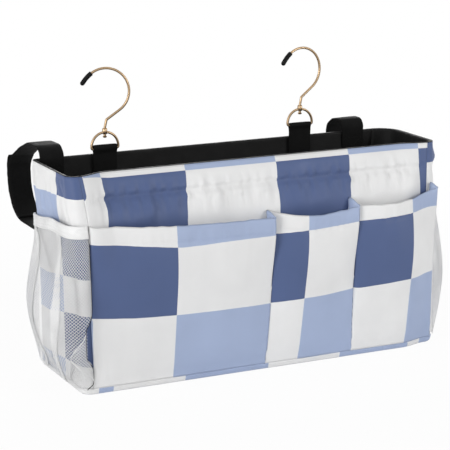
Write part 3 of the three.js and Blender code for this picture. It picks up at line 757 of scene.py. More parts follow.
def drawn_plate(name, points, levels, material, printed):
    """A disc laid to the plan, whose rim is drawn through levels of depth and height."""
    bm = bmesh.new()
    bmesh.ops.create_circle(bm, cap_ends=True, segments=len(points), radius=1)
    rim = sorted(bm.verts, key=lambda v: v.index)
    depth, z = levels[0]
    for v, place in zip(rim, ring_at(points, depth, z)):
        v.co = place
    if bm.faces[:][0].normal.z > 0:
        bmesh.ops.reverse_faces(bm, faces=bm.faces[:])
    edges = list(bm.edges)
    for depth, z in levels[1:]:
        grown = bmesh.ops.extrude_edge_only(bm, edges=edges)["geom"]
        fresh = [g for g in grown if isinstance(g, bmesh.types.BMVert)]
        edges = [g for g in grown if isinstance(g, bmesh.types.BMEdge) and g.is_boundary]
        targets = ring_at(points, depth, z)
        for v in fresh:
            v.co = min(targets, key=lambda t: (t.xy - v.co.xy).length_squared)
    cloth = bm.loops.layers.uv.new("cloth")
    check = bm.loops.layers.uv.new("print")
    for face in bm.faces:
        face.smooth = len(face.verts) == 4
        for loop in face.loops:
            x, y, z = (value / MM for value in loop.vert.co)
            loop[cloth].uv = (x, y + z)
            loop[check].uv = printed(loop.vert.co)
    return object_from(bm, name, material)


base_points = plan_points(PLAN_SPACING)
base_levels = [(BASE_EDGE_RADIUS, 0.0)]
for step in range(1, 5):
    angle = math.pi / 2 * step / 4
    depth = BASE_EDGE_RADIUS * (1 - math.sin(angle))
    base_levels.append((depth, BASE_EDGE_RADIUS * (1 - math.cos(angle))))
base_levels += [(-0.4, 3.5), (-0.75, BASE_BORDER - 0.5)]
base_levels += [(-0.6, BASE_BORDER), (0.6, BASE_BORDER)]
base = drawn_plate("base_cloth", base_points, base_levels, printed_cloth, base_print)
thickened(base, CLOTH)
BASE_SIZE = (2 * BASE_HALF_WIDTH + 2 * BASE_BORDER, BASE_DEPTH + 2 * BASE_BORDER)
sewn_in(base, "printed_cloth", "base_panel", BASE_SIZE, "stretched", ["base_board"])

# %% [markdown]
# ## The lining
# Inside, each wall has a black lining that turns outward over the top of its board.
# It hangs a little loose, so faint upright folds show in it. Each lining is laid
# along a profile: up the inside of the wall, round the rim and out to the print.

# %% The wall linings
LINING_DEPTH = 3.6
LINING_FOOT = 4.6
LIP_RADIUS = 1.3
LIP_END_DEPTH = 0.15
LIP_TOP = BODY_HEIGHT + 0.45
LINING_CLOTH = 0.5
LINING_STEP = 4


def lining_profile(up):
    """Depth and height along the lining, from its foot to the end of its lip."""
    rise = LIP_TOP - LIP_RADIUS - LINING_FOOT
    bend = math.pi / 2 * LIP_RADIUS
    lip = LINING_DEPTH - LIP_RADIUS - LIP_END_DEPTH
    length = up * (rise + bend + lip)
    if length < rise:
        return LINING_DEPTH, LINING_FOOT + length
    if length < rise + bend:
        angle = (length - rise) / LIP_RADIUS
        depth = LINING_DEPTH - LIP_RADIUS * (1 - math.cos(angle))
        return depth, LIP_TOP - LIP_RADIUS * (1 - math.sin(angle))
    return LINING_DEPTH - LIP_RADIUS - (length - rise - bend), LIP_TOP


def rim_spread(up):
    """Rows crowd towards the rim, where the lining turns."""
    return 1 - (1 - up) ** 1.6


def wall_lining(name, outline, length, seed, facing, share_at=lambda across: across):
    """The lining of one wall, whose name is that of the wall."""

    def place(across, up):
        depth, z = lining_profile(rim_spread(up))
        folds = 0.7 + 0.8 * drape(across * length, z, seed, 16, 90)
        loose = smooth((BODY_HEIGHT - 4 - z) / 25) * smooth(min(across, 1 - across) * 12)
        return on_wall(outline, share_at(across), z, -depth - loose * max(0.0, folds))

    size = (length, BODY_HEIGHT)
    steps = (max(30, int(length / LINING_STEP)), 56)
    name += "_lining"
    made = laid_cloth(
        name + "_cloth", steps, place, size, lining_cloth, facing, thickness=LINING_CLOTH
    )
    sewn_in(made, "black_lining", name, size, "hung", [name.replace("lining", "board")])


def end_lining(side, name):
    length = sum(end_lengths(side))
    facing = (-side, 0, 0)
    wall_lining(
        name,
        end_wall_at(side),
        length,
        23 + side,
        facing,
        lambda across: end_share(side, across * length),
    )


wall_lining("front", front_outline, FRONT_SIZE[0], 21, (0, 1, 0))
wall_lining("back", back_outline, BACK_SIZE[0], 22, (0, -1, 0))
for side, name in SIDES.items():
    end_lining(side, name + "_end")

# %% The floor lining
FLOOR_HEIGHT = 4.9
FLOOR_DEPTH = 104.0
FLOOR_CLOTH = 0.4


def floor_edges(x):
    """How far forward and back the floor's lining reaches at x."""
    front_edge = front_y(x, FLOOR_HEIGHT) + LINING_DEPTH
    reach = half_width(FLOOR_HEIGHT) - LINING_DEPTH
    radius = BACK_RADIUS[1 if x > 0 else -1]
    over = max(0.0, abs(x) - (reach - radius))
    rounding = radius - math.sqrt(max(0.0, radius**2 - over**2))
    corner = CORNER_RADIUS
    past = min(corner, max(0.0, abs(x) - (reach - corner)))
    front_edge += corner - math.sqrt(corner**2 - past**2)
    return front_edge, BACK_DEPTH - LINING_DEPTH - rounding


def floor_place(across, up):
    reach = half_width(FLOOR_HEIGHT) - LINING_DEPTH - 0.4
    x = mix(-reach, reach, across)
    y = mix(*floor_edges(x), up)
    edge = smooth(min(across, 1 - across) * 14) * smooth(min(up, 1 - up) * 6)
    return x, y, FLOOR_HEIGHT + edge * max(0.0, 0.3 + 0.5 * drape(x, y, 27, 60, 40))


FLOOR_SIZE = (2 * half_width(5), FLOOR_DEPTH)
floor_lining = laid_cloth(
    "base_lining_cloth",
    (96, 30),
    floor_place,
    FLOOR_SIZE,
    lining_cloth,
    (0, 0, 1),
    thickness=FLOOR_CLOTH,
)
sewn_in(floor_lining, "black_lining", "base_lining", FLOOR_SIZE, "laid", ["base_board"])

# %% [markdown]
# ## The front pockets
# Three pockets share one band of cloth, sewn down between them. Each is fuller than
# the wall behind it, so its mouth gapes. The mouth's edge is folded to the inside and
# sewn, which makes a slightly thicker hem with fine puckers. The corners of the hems
# stand up a little at the seams.

# %% Pocket shapes
MOUTH_HEIGHT = 150.0
POCKET_GAP = 1.1
HEM = 15.0
HEM_THICKNESS = 1.5
LEFT_SEAM = (-7.5, 4.5, 0.6)
RIGHT_SEAM = (87.8, 94.7, 2.5)
RIGHT_WRAP = (4.0, 8.0, 1.0)
POCKET_CLOTH = 0.6
# Cloth below the first height is held by the bag; above the second it is free
MOUTH_ZONE = (80.0, 142.0)
POCKET_SQUARE = (220.0, 90.0)
FACE_LENGTH = MOUTH_HEIGHT - BASE_BORDER


def left_wrap(z):
    """How far the left pocket reaches round the bag's corner."""
    return 1.2 + 2.2 * bell(z - 75, 45)


def left_sliver(z):
    """Where the left pocket's first column of squares ends."""
    return -seam_x(z) - 1.6 - 1.0 * smooth((z - 68) / 8) - 4.0 * smooth((z - 128) / 8)


def near_mouth(z):
    """0 low down on a pocket, 1 at its mouth."""
    low, high = MOUTH_ZONE
    return smooth((z - low) / (high - low))


def seam_line(line):
    """A seam's x at z, from its foot, its mouth and how it bends between them."""
    foot, mouth, bend = line
    return lambda z: mix(foot, mouth, (z / MOUTH_HEIGHT) ** bend)


POCKETS = {
    "left": {
        "edges": (lambda z: -seam_x(z) - left_wrap(z), seam_line(LEFT_SEAM)),
        "heights": (155.5, 146.5),
        "sag": 1.5,
        "fullness": 16.0,
        "edge_share": 0.7,
        "hem": ((-180.0, 140.0), (-94.0, 130.0), (5.0, 130.0)),
        "row": ((-180.0, 72.5), (-140.0, 69.0), (-80.0, 66.6), (5.0, 64.5)),
        "column": (-100.4, -99.0),
        "steps": (104, 84),
        "overhangs": (0.0, 3.8),
        "stand": 0.72,
        "ear": 5.0,
    },
    "middle": {
        "edges": (seam_line(LEFT_SEAM), seam_line(RIGHT_SEAM)),
        "heights": (151.0, 149.0),
        "sag": 5.0,
        "fullness": 14.0,
        "edge_share": 0.7,
        "hem": ((0.0, 130.0), (95.0, 134.0)),
        "row": ((0.0, 65.0), (95.0, 69.0)),
        "column": (29.0, 37.0),
        "steps": (66, 84),
        "overhangs": (3.8, 6.5),
        "stand": 0.78,
        "ear": 6.0,
    },
    "right": {
        "edges": (seam_line(RIGHT_SEAM), lambda z: seam_x(z) + seam_line(RIGHT_WRAP)(z)),
        "heights": (150.0, 156.0),
        "sag": 4.0,
        "fullness": 15.0,
        "edge_share": 0.4,
        "hem": ((95.0, 134.0), (185.0, 138.0)),
        "row": ((95.0, 69.0), (185.0, 74.0)),
        "column": (147.0, 151.5),
        "steps": (66, 84),
        "overhangs": (6.5, 5.0),
        "stand": 0.45,
        "ear": 4.0,
    },
}


def along_points(points, x):
    """The height at x of a line through points."""
    for (x0, z0), (x1, z1) in zip(points, points[1:]):
        if x <= x1:
            return mix(z0, z1, clamp((x - x0) / (x1 - x0)))
    return points[-1][1]


TURN_START = 0.9


def pocket_spot(pocket, across, rise):
    """Where the cloth lies along the wall, and its turn (0 to 1) back to the seam."""
    left_edge, right_edge = pocket["edges"]
    share = min(1.0, across / TURN_START)
    turn = clamp((across - TURN_START) / (1 - TURN_START))
    mouth = mix(*pocket["heights"], share) - pocket["sag"] * math.sin(math.pi * share)
    width = right_edge(MOUTH_HEIGHT) - left_edge(MOUTH_HEIGHT)
    mouth += pocket["ear"] * smooth(turn * 1.2) + 1.2 * bell(share * width, 5)
    mouth += 0.5 * ripple(share * width, 31 + width, 9)
    z = mix(BASE_BORDER, mouth, rise)
    before, after = (size * near_mouth(z) for size in pocket["overhangs"])
    x = mix(left_edge(z) - before + min(0.4, before), right_edge(z), share)
    x -= after * math.sin(math.pi / 2 * turn)
    return x, z, mouth, width, share, turn


def pocket_place(name, share, length):
    """A point at a length up the pocket's face and then down the inside of its hem."""
    pocket = POCKETS[name]
    past = length - FACE_LENGTH
    up = min(length, FACE_LENGTH - past) / FACE_LENGTH
    x, z, mouth, width, share, turn = pocket_spot(pocket, share, up)
    closed = max(0.0, math.sin(math.pi * share)) ** pocket["edge_share"]
    open_right = math.sin(math.pi * min(share, 0.5)) ** pocket["edge_share"]
    flat_end = 1 - (1 - pocket["stand"]) * smooth((share - 0.4) / 0.55)
    opening = mix(closed, open_right * flat_end, near_mouth(z))
    opening *= math.sin(math.pi / 2 * (1 - turn))
    gape = pocket["fullness"] * (z / MOUTH_HEIGHT) * opening
    gathered = smooth((z - 118) / 24)
    above_seam = z - mouth + HEM
    position = share * width
    puckers = 0.5 * ripple(position, 33, 4.5) + 0.3 * ripple(position, 34, 2.2)
    relief = gathered * opening * puckers * bell(above_seam, 9)
    relief += 0.6 * opening * drape(x, z, 35, 30, 60) * (1 - up**6)
    edge = min(position, width - position)
    relief += 0.5 * drape(edge, z, 36, 9, 14) * bell(edge, 9) * smooth(edge / 2)
    relief += 0.8 * bell(x + 165 + 0.15 * z, 2.4) * bell(z - 24, 14)
    relief -= 0.5 * bell(above_seam, 1.3) * opening
    depth = -relief
    if past > 0:
        depth += HEM_THICKNESS * smooth(past / 1.5)
    else:
        depth += 0.4 * bell(past, 1.2)
    lift = CLOTH + 0.1 + POCKET_GAP * smooth((z - BASE_BORDER) / 14)
    return x, front_y(x, z) - lift - gape + depth, z


def pocket_print(name, share, length):
    """The check there; the pockets' columns and rows lean to both sides."""
    pocket = POCKETS[name]
    past = length - FACE_LENGTH
    up = min(length, FACE_LENGTH - past) / FACE_LENGTH
    x, z, mouth = pocket_spot(pocket, share, up)[:3]
    border = mix(*pocket["column"], z / 130)
    columns = (left_sliver(z) if name == "left" else border - 300, border)
    rows = (along_points(pocket["row"], x), along_points(pocket["hem"], x))
    if past > 0:
        z = 2 * mouth - z
    wide, tall = POCKET_SQUARE
    return square_of(x, columns, 0, wide), square_of(z, rows, 0, tall)


def front_pocket(name):
    pocket = POCKETS[name]
    full = FACE_LENGTH + HEM
    left_edge, right_edge = pocket["edges"]
    size = (right_edge(100) - left_edge(100) + pocket["fullness"], full)
    made = laid_cloth(
        name + "_pocket_cloth",
        pocket["steps"],
        lambda across, up: pocket_place(name, across, up * full),
        size,
        printed_cloth,
        (0, -1, 0),
        lambda across, up: pocket_print(name, across, up * full),
        POCKET_CLOTH,
    )
    node = name + "_front_pocket"
    sewn_in(made, "printed_cloth", node, size, "stretched", ["front_wall"])


for name in POCKETS:
    front_pocket(name)

# %% [markdown]
# ## The net pockets
# The net is an open knit of diamonds. A picture with holes would vanish when the part
# is exported, so the diamonds are real: a grid is turned by 45 degrees, cut to the
# pocket's rectangle, and each cell is inset and its middle taken out. Then the net is
# laid over the end with folds, two in the left net and one in the right, where three
# layers lie on each other and look whiter, as in the real pocket.

# %% The net's shape
NET_HEIGHT = 152.0
NET_TOP = 150.0
NET_BULGE_HEIGHT = 68.0
NET_MOUTH_BULGE = 5.5
NET_PLEAT = 2.2
NET_SEAT = 2.2
NETS = {
    -1: {"bulge": 26.0, "lift": (5.0, -4.0), "start": 0.1, "end": 2.3},
    1: {"bulge": 24.5, "lift": (0.0, 0.0), "start": 0.75, "end": 2.3},
}


def net_offset(net, share, z):
    """How far out the net stands: widest low down, drawn in at its mouth."""
    turn = (share - net["start"]) / (net["end"] - net["start"])
    across = max(0.0, math.sin(math.pi * turn)) ** 0.8
    rise = clamp(z / NET_HEIGHT)
    peak = NET_BULGE_HEIGHT / NET_HEIGHT
    below = ease_out(rise / peak) ** (1.1 + 0.5 * turn)
    above = math.cos(math.pi / 2 * clamp((rise - peak) / (1 - peak))) ** 2
    low = NET_MOUTH_BULGE * smooth(rise / peak) * (1 - 0.9 * smooth((share - 1.2) / 0.7))
    bulge = mix(low, net["bulge"], below if rise < peak else above)
    pleats = NET_PLEAT * math.cos(4 * math.pi * turn) * ease_out(rise / peak) * above
    return NET_SEAT + across * (bulge + (pleats if rise < 1 else 0))


def net_place(side, share, level, out):
    net = NETS[side]
    z = level + mix(*net["lift"], smooth((share - 1.2) / 0.8)) * smooth(level / NET_HEIGHT)
    return on_wall(end_wall_at(side), share, z, net_offset(net, share, level) + out)


def net_ends(side):
    """The lengths along the bag's end at which its net starts and stops."""
    return [end_length_at(side, NETS[side][key]) for key in ("start", "end")]


# %% The net
DIAMOND = 2.8
NET_STRETCH = 1.22
STRAND = 0.43
FOLD_STRAND = 1.0
YARN_THICKNESS = 0.14
FOLD_WIDTH = 9.5
FOLD_LAYER = 0.4
TUCK_LAYER = 1.3
TUCK_CORNERS = ((0, 12), (34, 62))
TUCK_REACH = 17.0
# How far the left net's front edge stands back: everywhere, at the tuck, at its foot
EDGE_BACK, TUCK_BACK, FOOT_BACK = 1.2, 11.5, 13.0
# Each fold bows: its least place along the net, at what height, and how much it bows
FOLDS = {-1: ((35.5, 78.0, 0.006), (88.0, 66.0, 0.009)), 1: ((60.0, 70.0, 0.001),)}


def tuck_width(level):
    """How far the tuck in the net's lower front corner lies over the net."""
    return TUCK_REACH * smooth((60 - level) / 26) * smooth((level - 14) / 12)


def net_edge(side, level):
    """How far back from its seam's end the net's front edge was cut."""
    if side > 0:
        return 0.0
    pulled = smooth((78 - level) / 18) * smooth((level - 22) / 16)
    at_foot = 1 - smooth((level - BASE_BORDER) / 6)
    return EDGE_BACK + TUCK_BACK * pulled + FOOT_BACK * at_foot


def net_lengths(side, level=60.0, steps=120):
    """The true length of the net at a level, and a table from it to the wall's length."""
    ends = net_ends(side)
    table, before, run = [], None, 0.0
    for step in range(steps + 1):
        length = mix(*ends, step / steps)
        here = Vector(net_place(side, end_share(side, length), level, 0))
        run += (here - before).length if before else 0.0
        before = here
        table.append((run, length))
    return run, table


def looked_up(table, value):
    """The second number of a table at a value of its first one."""
    low, high = 0, len(table) - 1
    while high - low > 1:
        middle = (low + high) // 2
        low, high = (middle, high) if table[middle][0] <= value else (low, middle)
    (a, x), (b, y) = table[low], table[high]
    return mix(x, y, clamp((value - a) / (b - a)))


def folded(length, folds):
    """Where a length of cloth lands when it is folded, and how high it lies."""
    shift = 0.0
    height = 0.0
    for start, width in folds:
        at = start + shift
        if length > at + 2 * width:
            shift += 2 * width
            past = (length - at - 2 * width) / (3 * width + 0.01)
            height += 2 * FOLD_LAYER * min(1.0, width) * (1 - smooth(past))
        elif length > at + width:
            return 2 * (at + width) - length - shift, height + FOLD_LAYER
        elif length > at:
            return length - shift, height
    return length - shift, height


def folds_at(side, level):
    return [
        (least + bow * (level - height) ** 2, FOLD_WIDTH)
        for least, height, bow in FOLDS[side]
    ]


def tuck_line(level):
    return net_edge(-1, level) + tuck_width(level)


def trimmed(bm, outside):
    """Deletes the cells whose middle is outside."""
    lost = [f for f in bm.faces if outside(f.calc_center_median())]
    bmesh.ops.delete(bm, geom=lost, context="FACES")


def diamonds(low, high):
    """A flat net of uncut diamonds between two corners of a rectangle."""
    half = DIAMOND / math.sqrt(2)
    size = Vector(high) - Vector(low)
    reach = math.ceil((size.x + size.y) / half / 2) + 2
    bm = bmesh.new()
    bmesh.ops.create_grid(bm, x_segments=2 * reach, y_segments=2 * reach, size=reach * half)
    bmesh.ops.rotate(bm, verts=bm.verts, matrix=Matrix.Rotation(math.pi / 4, 3, "Z"))
    bmesh.ops.scale(bm, verts=bm.verts, vec=(NET_STRETCH, 1, 1))
    bmesh.ops.translate(bm, verts=bm.verts, vec=(Vector(low) + size / 2).to_3d())
    sides = ((low, (-1, 0)), (high, (1, 0)), (low, (0, -1)), (high, (0, 1)))
    for corner, direction in sides:
        bmesh.ops.bisect_plane(
            bm,
            geom=bm.verts[:] + bm.edges[:] + bm.faces[:],
            plane_co=(*corner, 0),
            plane_no=(*direction, 0),
            clear_outer=True,
        )
    small = [f for f in bm.faces if f.calc_area() < STRAND * DIAMOND]
    bmesh.ops.delete(bm, geom=small, context="FACES")
    return bm


def on_fold(side, spot):
    """Whether a point of the flat net will be the top layer of a fold."""
    shift = 0.0
    for start, width in folds_at(side, spot.y):
        shift += 2 * width
        if 0 <= spot.x - start - shift <= width:
            return True
    return False


def opened(bm, side):
    """Turns each cell into a frame of strands and writes the cloth map."""
    cells = bm.faces[:]
    close = [f for f in cells if on_fold(side, f.calc_center_median())]
    apart = [f for f in cells if f not in set(close)]
    for some, strand in ((close, FOLD_STRAND), (apart, STRAND)):
        bmesh.ops.inset_individual(
            bm, faces=some, thickness=strand / 2, use_even_offset=True
        )
    bmesh.ops.delete(bm, geom=cells, context="FACES")
    cloth = bm.loops.layers.uv.new("cloth")
    for face in bm.faces:
        face.smooth = True
        for loop in face.loops:
            loop[cloth].uv = loop.vert.co.xy
    return len(cells)


def lay_net(side, landed, level, out):
    """The place of a point of the net, at a length from its front edge."""
    share = end_share(side, looked_up(NET_TABLES[side][1], landed))
    return Vector(net_place(side, share, level, out)) * MM


def covered_area(size):
    """How much of a net's flat size its strands cover, in square metres."""
    apart = DIAMOND * NET_STRETCH / math.hypot(1, NET_STRETCH)
    covered = 1 - (1 - STRAND / apart) ** 2
    return covered * size[0] * size[1] * MM * MM


def net_sheet(side, name):
    """The net of one end: cut flat, folded, and laid over the end."""
    size = (NET_TABLES[side][0] + 2 * FOLD_WIDTH * len(FOLDS[side]), NET_TOP)
    bm = diamonds((0, BASE_BORDER), size)
    trimmed(bm, lambda spot: spot.x < net_edge(side, spot.y))
    count = opened(bm, side)
    for v in bm.verts:
        landed, layer = folded(v.co.x, folds_at(side, v.co.y))
        wrinkle = 0.5 * drape(landed, v.co.y, 41 + side, 12, 30) * smooth(v.co.y / 20)
        v.co = lay_net(side, landed, v.co.y, layer + max(-0.3, wrinkle))
    if side < 0:
        tuck = diamonds(*TUCK_CORNERS)
        trimmed(tuck, lambda spot: not net_edge(side, spot.y) < spot.x < tuck_line(spot.y))
        opened(tuck, side)
        for v in tuck.verts:
            v.co = lay_net(side, v.co.x, v.co.y, TUCK_LAYER)
        spare = bpy.data.meshes.new("tuck")
        tuck.to_mesh(spare)
        tuck.free()
        bm.from_mesh(spare)
        bpy.data.meshes.remove(spare)
    bm.normal_update()
    bm.faces.ensure_lookup_table()
    if sum(f.normal.x for f in bm.faces) * side < 0:
        bmesh.ops.reverse_faces(bm, faces=bm.faces[:])
    made = object_from(bm, name + "_net", net_yarn)
    thickened(made, YARN_THICKNESS, 0)
    node, wall, area = name + "_mesh_pocket", name + "_end_wall", covered_area(size)
    sewn_in(made, "white_mesh", node, size, "gathered", [wall], area=area)
    print("cells in it:", count)


NET_TABLES = {side: net_lengths(side) for side in NETS}
for side, name in SIDES.items():
    net_sheet(side, name)


def line_on_net(side, low, high, landed_at, out, count=90):
    """Points up the net, at a length from its front edge that changes with height."""
    levels = [mix(low, high, step / count) for step in range(count + 1)]
    return [lay_net(side, landed_at(level), level, out) / MM for level in levels]


# %% [markdown]
# ## The elastic bands
# A white elastic binding is folded over the top edge of each net and drawn in, so it
# is finely gathered. It is laid like the walls, along a profile that goes up the
# outside, over the edge and down the inside.

# %% The bands
BAND_HEIGHT = 11.0
BAND_OUT = 1.3
BAND_IN = -1.1
BAND_TOP_RADIUS = 1.2
BAND_GROOVES = (3.0, 6.0, 9.0)
BAND_CLOTH = 0.55


def band_profile(up):
    """How far out and how high a point of the folded band lies."""
    side_run = BAND_HEIGHT - BAND_TOP_RADIUS
    bend = math.pi * BAND_TOP_RADIUS
    length = up * (2 * side_run + bend)
    if length < side_run:
        return BAND_OUT, NET_HEIGHT - BAND_HEIGHT + length
    if length < side_run + bend:
        angle = (length - side_run) / BAND_TOP_RADIUS
        middle = (BAND_OUT + BAND_IN) / 2
        level = NET_HEIGHT - BAND_TOP_RADIUS * (1 - math.sin(angle))
        return middle + BAND_TOP_RADIUS * math.cos(angle), level
    return BAND_IN, NET_HEIGHT - BAND_TOP_RADIUS - (length - side_run - bend)


def elastic_band(side, name):
    start, end = net_ends(side)
    width = end - start

    def place(across, up):
        out, level = band_profile(up)
        position = across * width
        gathers = 0.28 * ripple(position, 51 + side, 2.4) + 0.18 * ripple(position, 53, 1.3)
        share = end_share(side, start + position)
        for rib in BAND_GROOVES:
            gathers -= 0.32 * bell(level - NET_HEIGHT + rib, 0.7)
        wave = 0.5 * ripple(position, 55 + side, 24)
        return net_place(side, share, level + wave * bell(up - 0.5, 0.4), out + gathers)

    size = (width, 2 * BAND_HEIGHT)
    facing = (side, 0, 0)
    made = laid_cloth(
        name + "_band", (170, 40), place, size, binding, facing, thickness=BAND_CLOTH
    )
    node = name + "_mesh_band"
    sewn_in(made, "white_binding", node, size, "gathered", [name + "_net"])


for side, name in SIDES.items():
    elastic_band(side, name)

# %% [markdown]
# ## Lines with round corners
# Straps and wires follow a line with rounded corners in an upright plane. The line is
# measured, so that a point can be asked for by its length along it. A vertex is
# turned about each corner's centre, which is how a bender forms the real wire.


# %% A line with rounded corners
def rounded_line(corners, facet=6.0):
    """Points of a line through corners of (place, radius)."""
    points = [Vector(corners[0][0])]
    for index in range(1, len(corners) - 1):
        here, radius = Vector(corners[index][0]), corners[index][1]
        before = (Vector(corners[index - 1][0]) - here).normalized()
        after = (Vector(corners[index + 1][0]) - here).normalized()
        if not radius:
            points.append(here)
            continue
        half = before.angle(after) / 2
        run = radius / math.tan(half)
        centre = here + (before + after).normalized() * (radius / math.sin(half))
        start, end = here + before * run - centre, here + after * run - centre
        turn = start.angle_signed(end)
        count = max(1, math.ceil(abs(math.degrees(turn)) / facet))
        for step in range(count + 1):
            points.append(centre + Matrix.Rotation(-turn * step / count, 2) @ start)
    points.append(Vector(corners[-1][0]))
    return points


def arc(centre, radius, start, end, steps):
    """Points round a centre, from one angle to another."""
    angles = [mix(start, end, step / steps) for step in range(steps + 1)]
    return [Vector(centre) + Vector((math.cos(a), math.sin(a))) * radius for a in angles]


def lengths_of(points):
    """The length along a line at each of its points."""
    found = [0.0]
    for a, b in zip(points, points[1:]):
        found.append(found[-1] + (b - a).length)
    return found


def point_at(points, lengths, length):
    """The place at a length along a line, and the direction to its left there."""
    length = min(max(length, 0.0), lengths[-1])
    index = 1
    while index < len(lengths) - 1 and lengths[index] < length:
        index += 1
    a, b = points[index - 1], points[index]
    span = lengths[index] - lengths[index - 1]
    t = (length - lengths[index - 1]) / span if span else 0.0
    after = points[min(index + 1, len(points) - 1)]
    before = points[max(index - 2, 0)]
    direction = (b - before).normalized().lerp((after - a).normalized(), t).normalized()
    return a.lerp(b, t), Vector((-direction.y, direction.x))


# %% [markdown]
# ## The straps
# Each strap is black hook-and-loop webbing, 24 mm wide. The upper piece is sewn inside
# the bag, passes over the rim and down behind. The lower piece starts at a seam on
# the back and is pressed onto the upper one from outside. The webbing has rounded
# selvedges, so the band is thinner along its two edges.

# %% Strap lines
WALL_DEPTH = 4.2
STRAP_WIDTH = 24.0
STRAP_THICKNESS = 1.3
# Air between pieces that lie on each other or turn in each other
PLAY = 0.3
STRAP_INNER_Y = BACK_DEPTH - WALL_DEPTH - PLAY - STRAP_THICKNESS / 2
STRAP_SEAM_Y = BACK_DEPTH + PLAY + STRAP_THICKNESS
SEWN_LENGTH = 20.0
PEEL_LENGTH = 18.0
BAND_STEP = 1.6
STRAP_SEAM_Z = 129.0
STRAPS = {
    "left": {
        "x": -173.8,
        "bends": (
            ((STRAP_INNER_Y, 209), 13),
            ((75, 208.5), 30),
            ((99, 199.5), 40),
            ((122, 187.5), 12),
            ((132.5, 176), 14),
            ((132.5, 129.4), 37),
        ),
        "lengths": (190.0, 125.0),
        "peel": 3.5,
    },
    "right": {
        "x": 147.5,
        "bends": (
            ((STRAP_INNER_Y, 210), 8),
            ((STRAP_INNER_Y + 17, 210), 10),
            ((73, 200), 8),
            ((73, STRAP_SEAM_Z + 10), 12),
        ),
        "lengths": (130.0, 98.0),
        "peel": 0.0,
    },
}


def strap_line(strap):
    """The strap's path in its own plane, from inside the bag to the seam behind."""
    ends = (STRAP_INNER_Y, BODY_HEIGHT - 25), (STRAP_SEAM_Y + PLAY, STRAP_SEAM_Z)
    return rounded_line([(ends[0], 0), *strap["bends"], (ends[1], 0)])


def webbing_band(name, x, line, offset, seed, thickness=STRAP_THICKNESS, peel=0.0):
    """A band along a line of (y, z) points, moved to the line's left by an offset.

    A peel lifts the band's first end a little further.
    """
    lengths = lengths_of(line)
    total = lengths[-1]
    bm = bmesh.new()
    rows = max(6, int(total / BAND_STEP))
    profile = [(-1, 0), (-0.95, 0.72), (-0.6, 1), (0, 1), (0.6, 1), (0.95, 0.72), (1, 0)]
    ring = profile + [(a, -b) for a, b in profile[-2:0:-1]]
    bmesh.ops.create_circle(bm, cap_ends=False, segments=len(ring), radius=1)
    edges = bm.edges[:]
    current = sorted(bm.verts, key=lambda v: v.index)
    cloth = bm.loops.layers.uv.new("cloth")
    spots = {}

    def settle(verts, length):
        point, left = point_at(line, lengths, length)
        for v, (across, up) in zip(verts, ring):
            lie = offset + up * thickness / 2 + peel * (1 - smooth(length / PEEL_LENGTH))
            bow = 0.25 * ripple(length, seed, 14) * across
            edge = 0.18 * ripple(length, seed + across, 3) * abs(across)
            at = point + left * (lie + bow * 0.6)
            v.co = Vector((x + across * (STRAP_WIDTH / 2 - 0.1) + edge, at.x, at.y)) * MM
            spots[v] = (across * STRAP_WIDTH / 2, length + up * 0.2)

    settle(current, 0.0)
    bmesh.ops.edgenet_fill(bm, edges=edges)
    for step in range(1, rows + 1):
        grown = bmesh.ops.extrude_edge_only(bm, edges=edges)["geom"]
        edges = [g for g in grown if isinstance(g, bmesh.types.BMEdge)]
        links = {}
        for old in current:
            for edge in old.link_edges:
                other = edge.other_vert(old)
                if other not in spots:
                    links[old] = other
        current = [links[old] for old in current]
        edges = [e for e in edges if e.verts[0] in current and e.verts[1] in current]
        settle(current, total * step / rows)
    bmesh.ops.edgenet_fill(bm, edges=edges)
    for face in bm.faces:
        face.smooth = len(face.verts) == 4
        for loop in face.loops:
            loop[cloth].uv = spots[loop.vert]
    bmesh.ops.recalc_face_normals(bm, faces=bm.faces[:])
    return object_from(bm, name, webbing)


def part_of(line, start, end):
    """The part of a line between two lengths along it."""
    lengths = lengths_of(line)
    inner = [p for p, length in zip(line, lengths) if start < length < end]
    ends = [point_at(line, lengths, length)[0] for length in (start, end)]
    return [ends[0], *inner, ends[1]]


for name, strap in STRAPS.items():
    line = strap_line(strap)
    total = lengths_of(line)[-1]
    upper, lower = strap["lengths"]
    made = webbing_band(name + "_upper_strap", strap["x"], part_of(line, 0, upper), 0, 61)
    keep(made, "bag", "black_webbing", name + "_strap_upper")
    made = webbing_band(
        name + "_lower_strap",
        strap["x"],
        part_of(line, total - lower, total),
        STRAP_THICKNESS + PLAY,
        63,
        peel=strap["peel"],
    )
    keep(made, name + "_strap", "black_webbing", name + "_strap_lower")
    sewn_y = BACK_DEPTH + PLAY + STRAP_THICKNESS / 2
    foot = STRAP_SEAM_Z + STRAP_THICKNESS - PLAY - SEWN_LENGTH
    sewn = [Vector((sewn_y, foot)), Vector((sewn_y, foot + SEWN_LENGTH))]
    made = webbing_band(name + "_sewn_strap", strap["x"], sewn, 0, 65)
    keep(made, "bag", "black_webbing", name + "_strap_sewn_end")
    print(name, "strap line", round(total, 1), "mm")

# %% [markdown]
# ## The ring tabs
# A tab is a length of webbing passed round the ring's bar and sewn, doubled, inside
# the back wall. It is the same band as a strap, laid along a line that goes up, round
# the bar and down again.

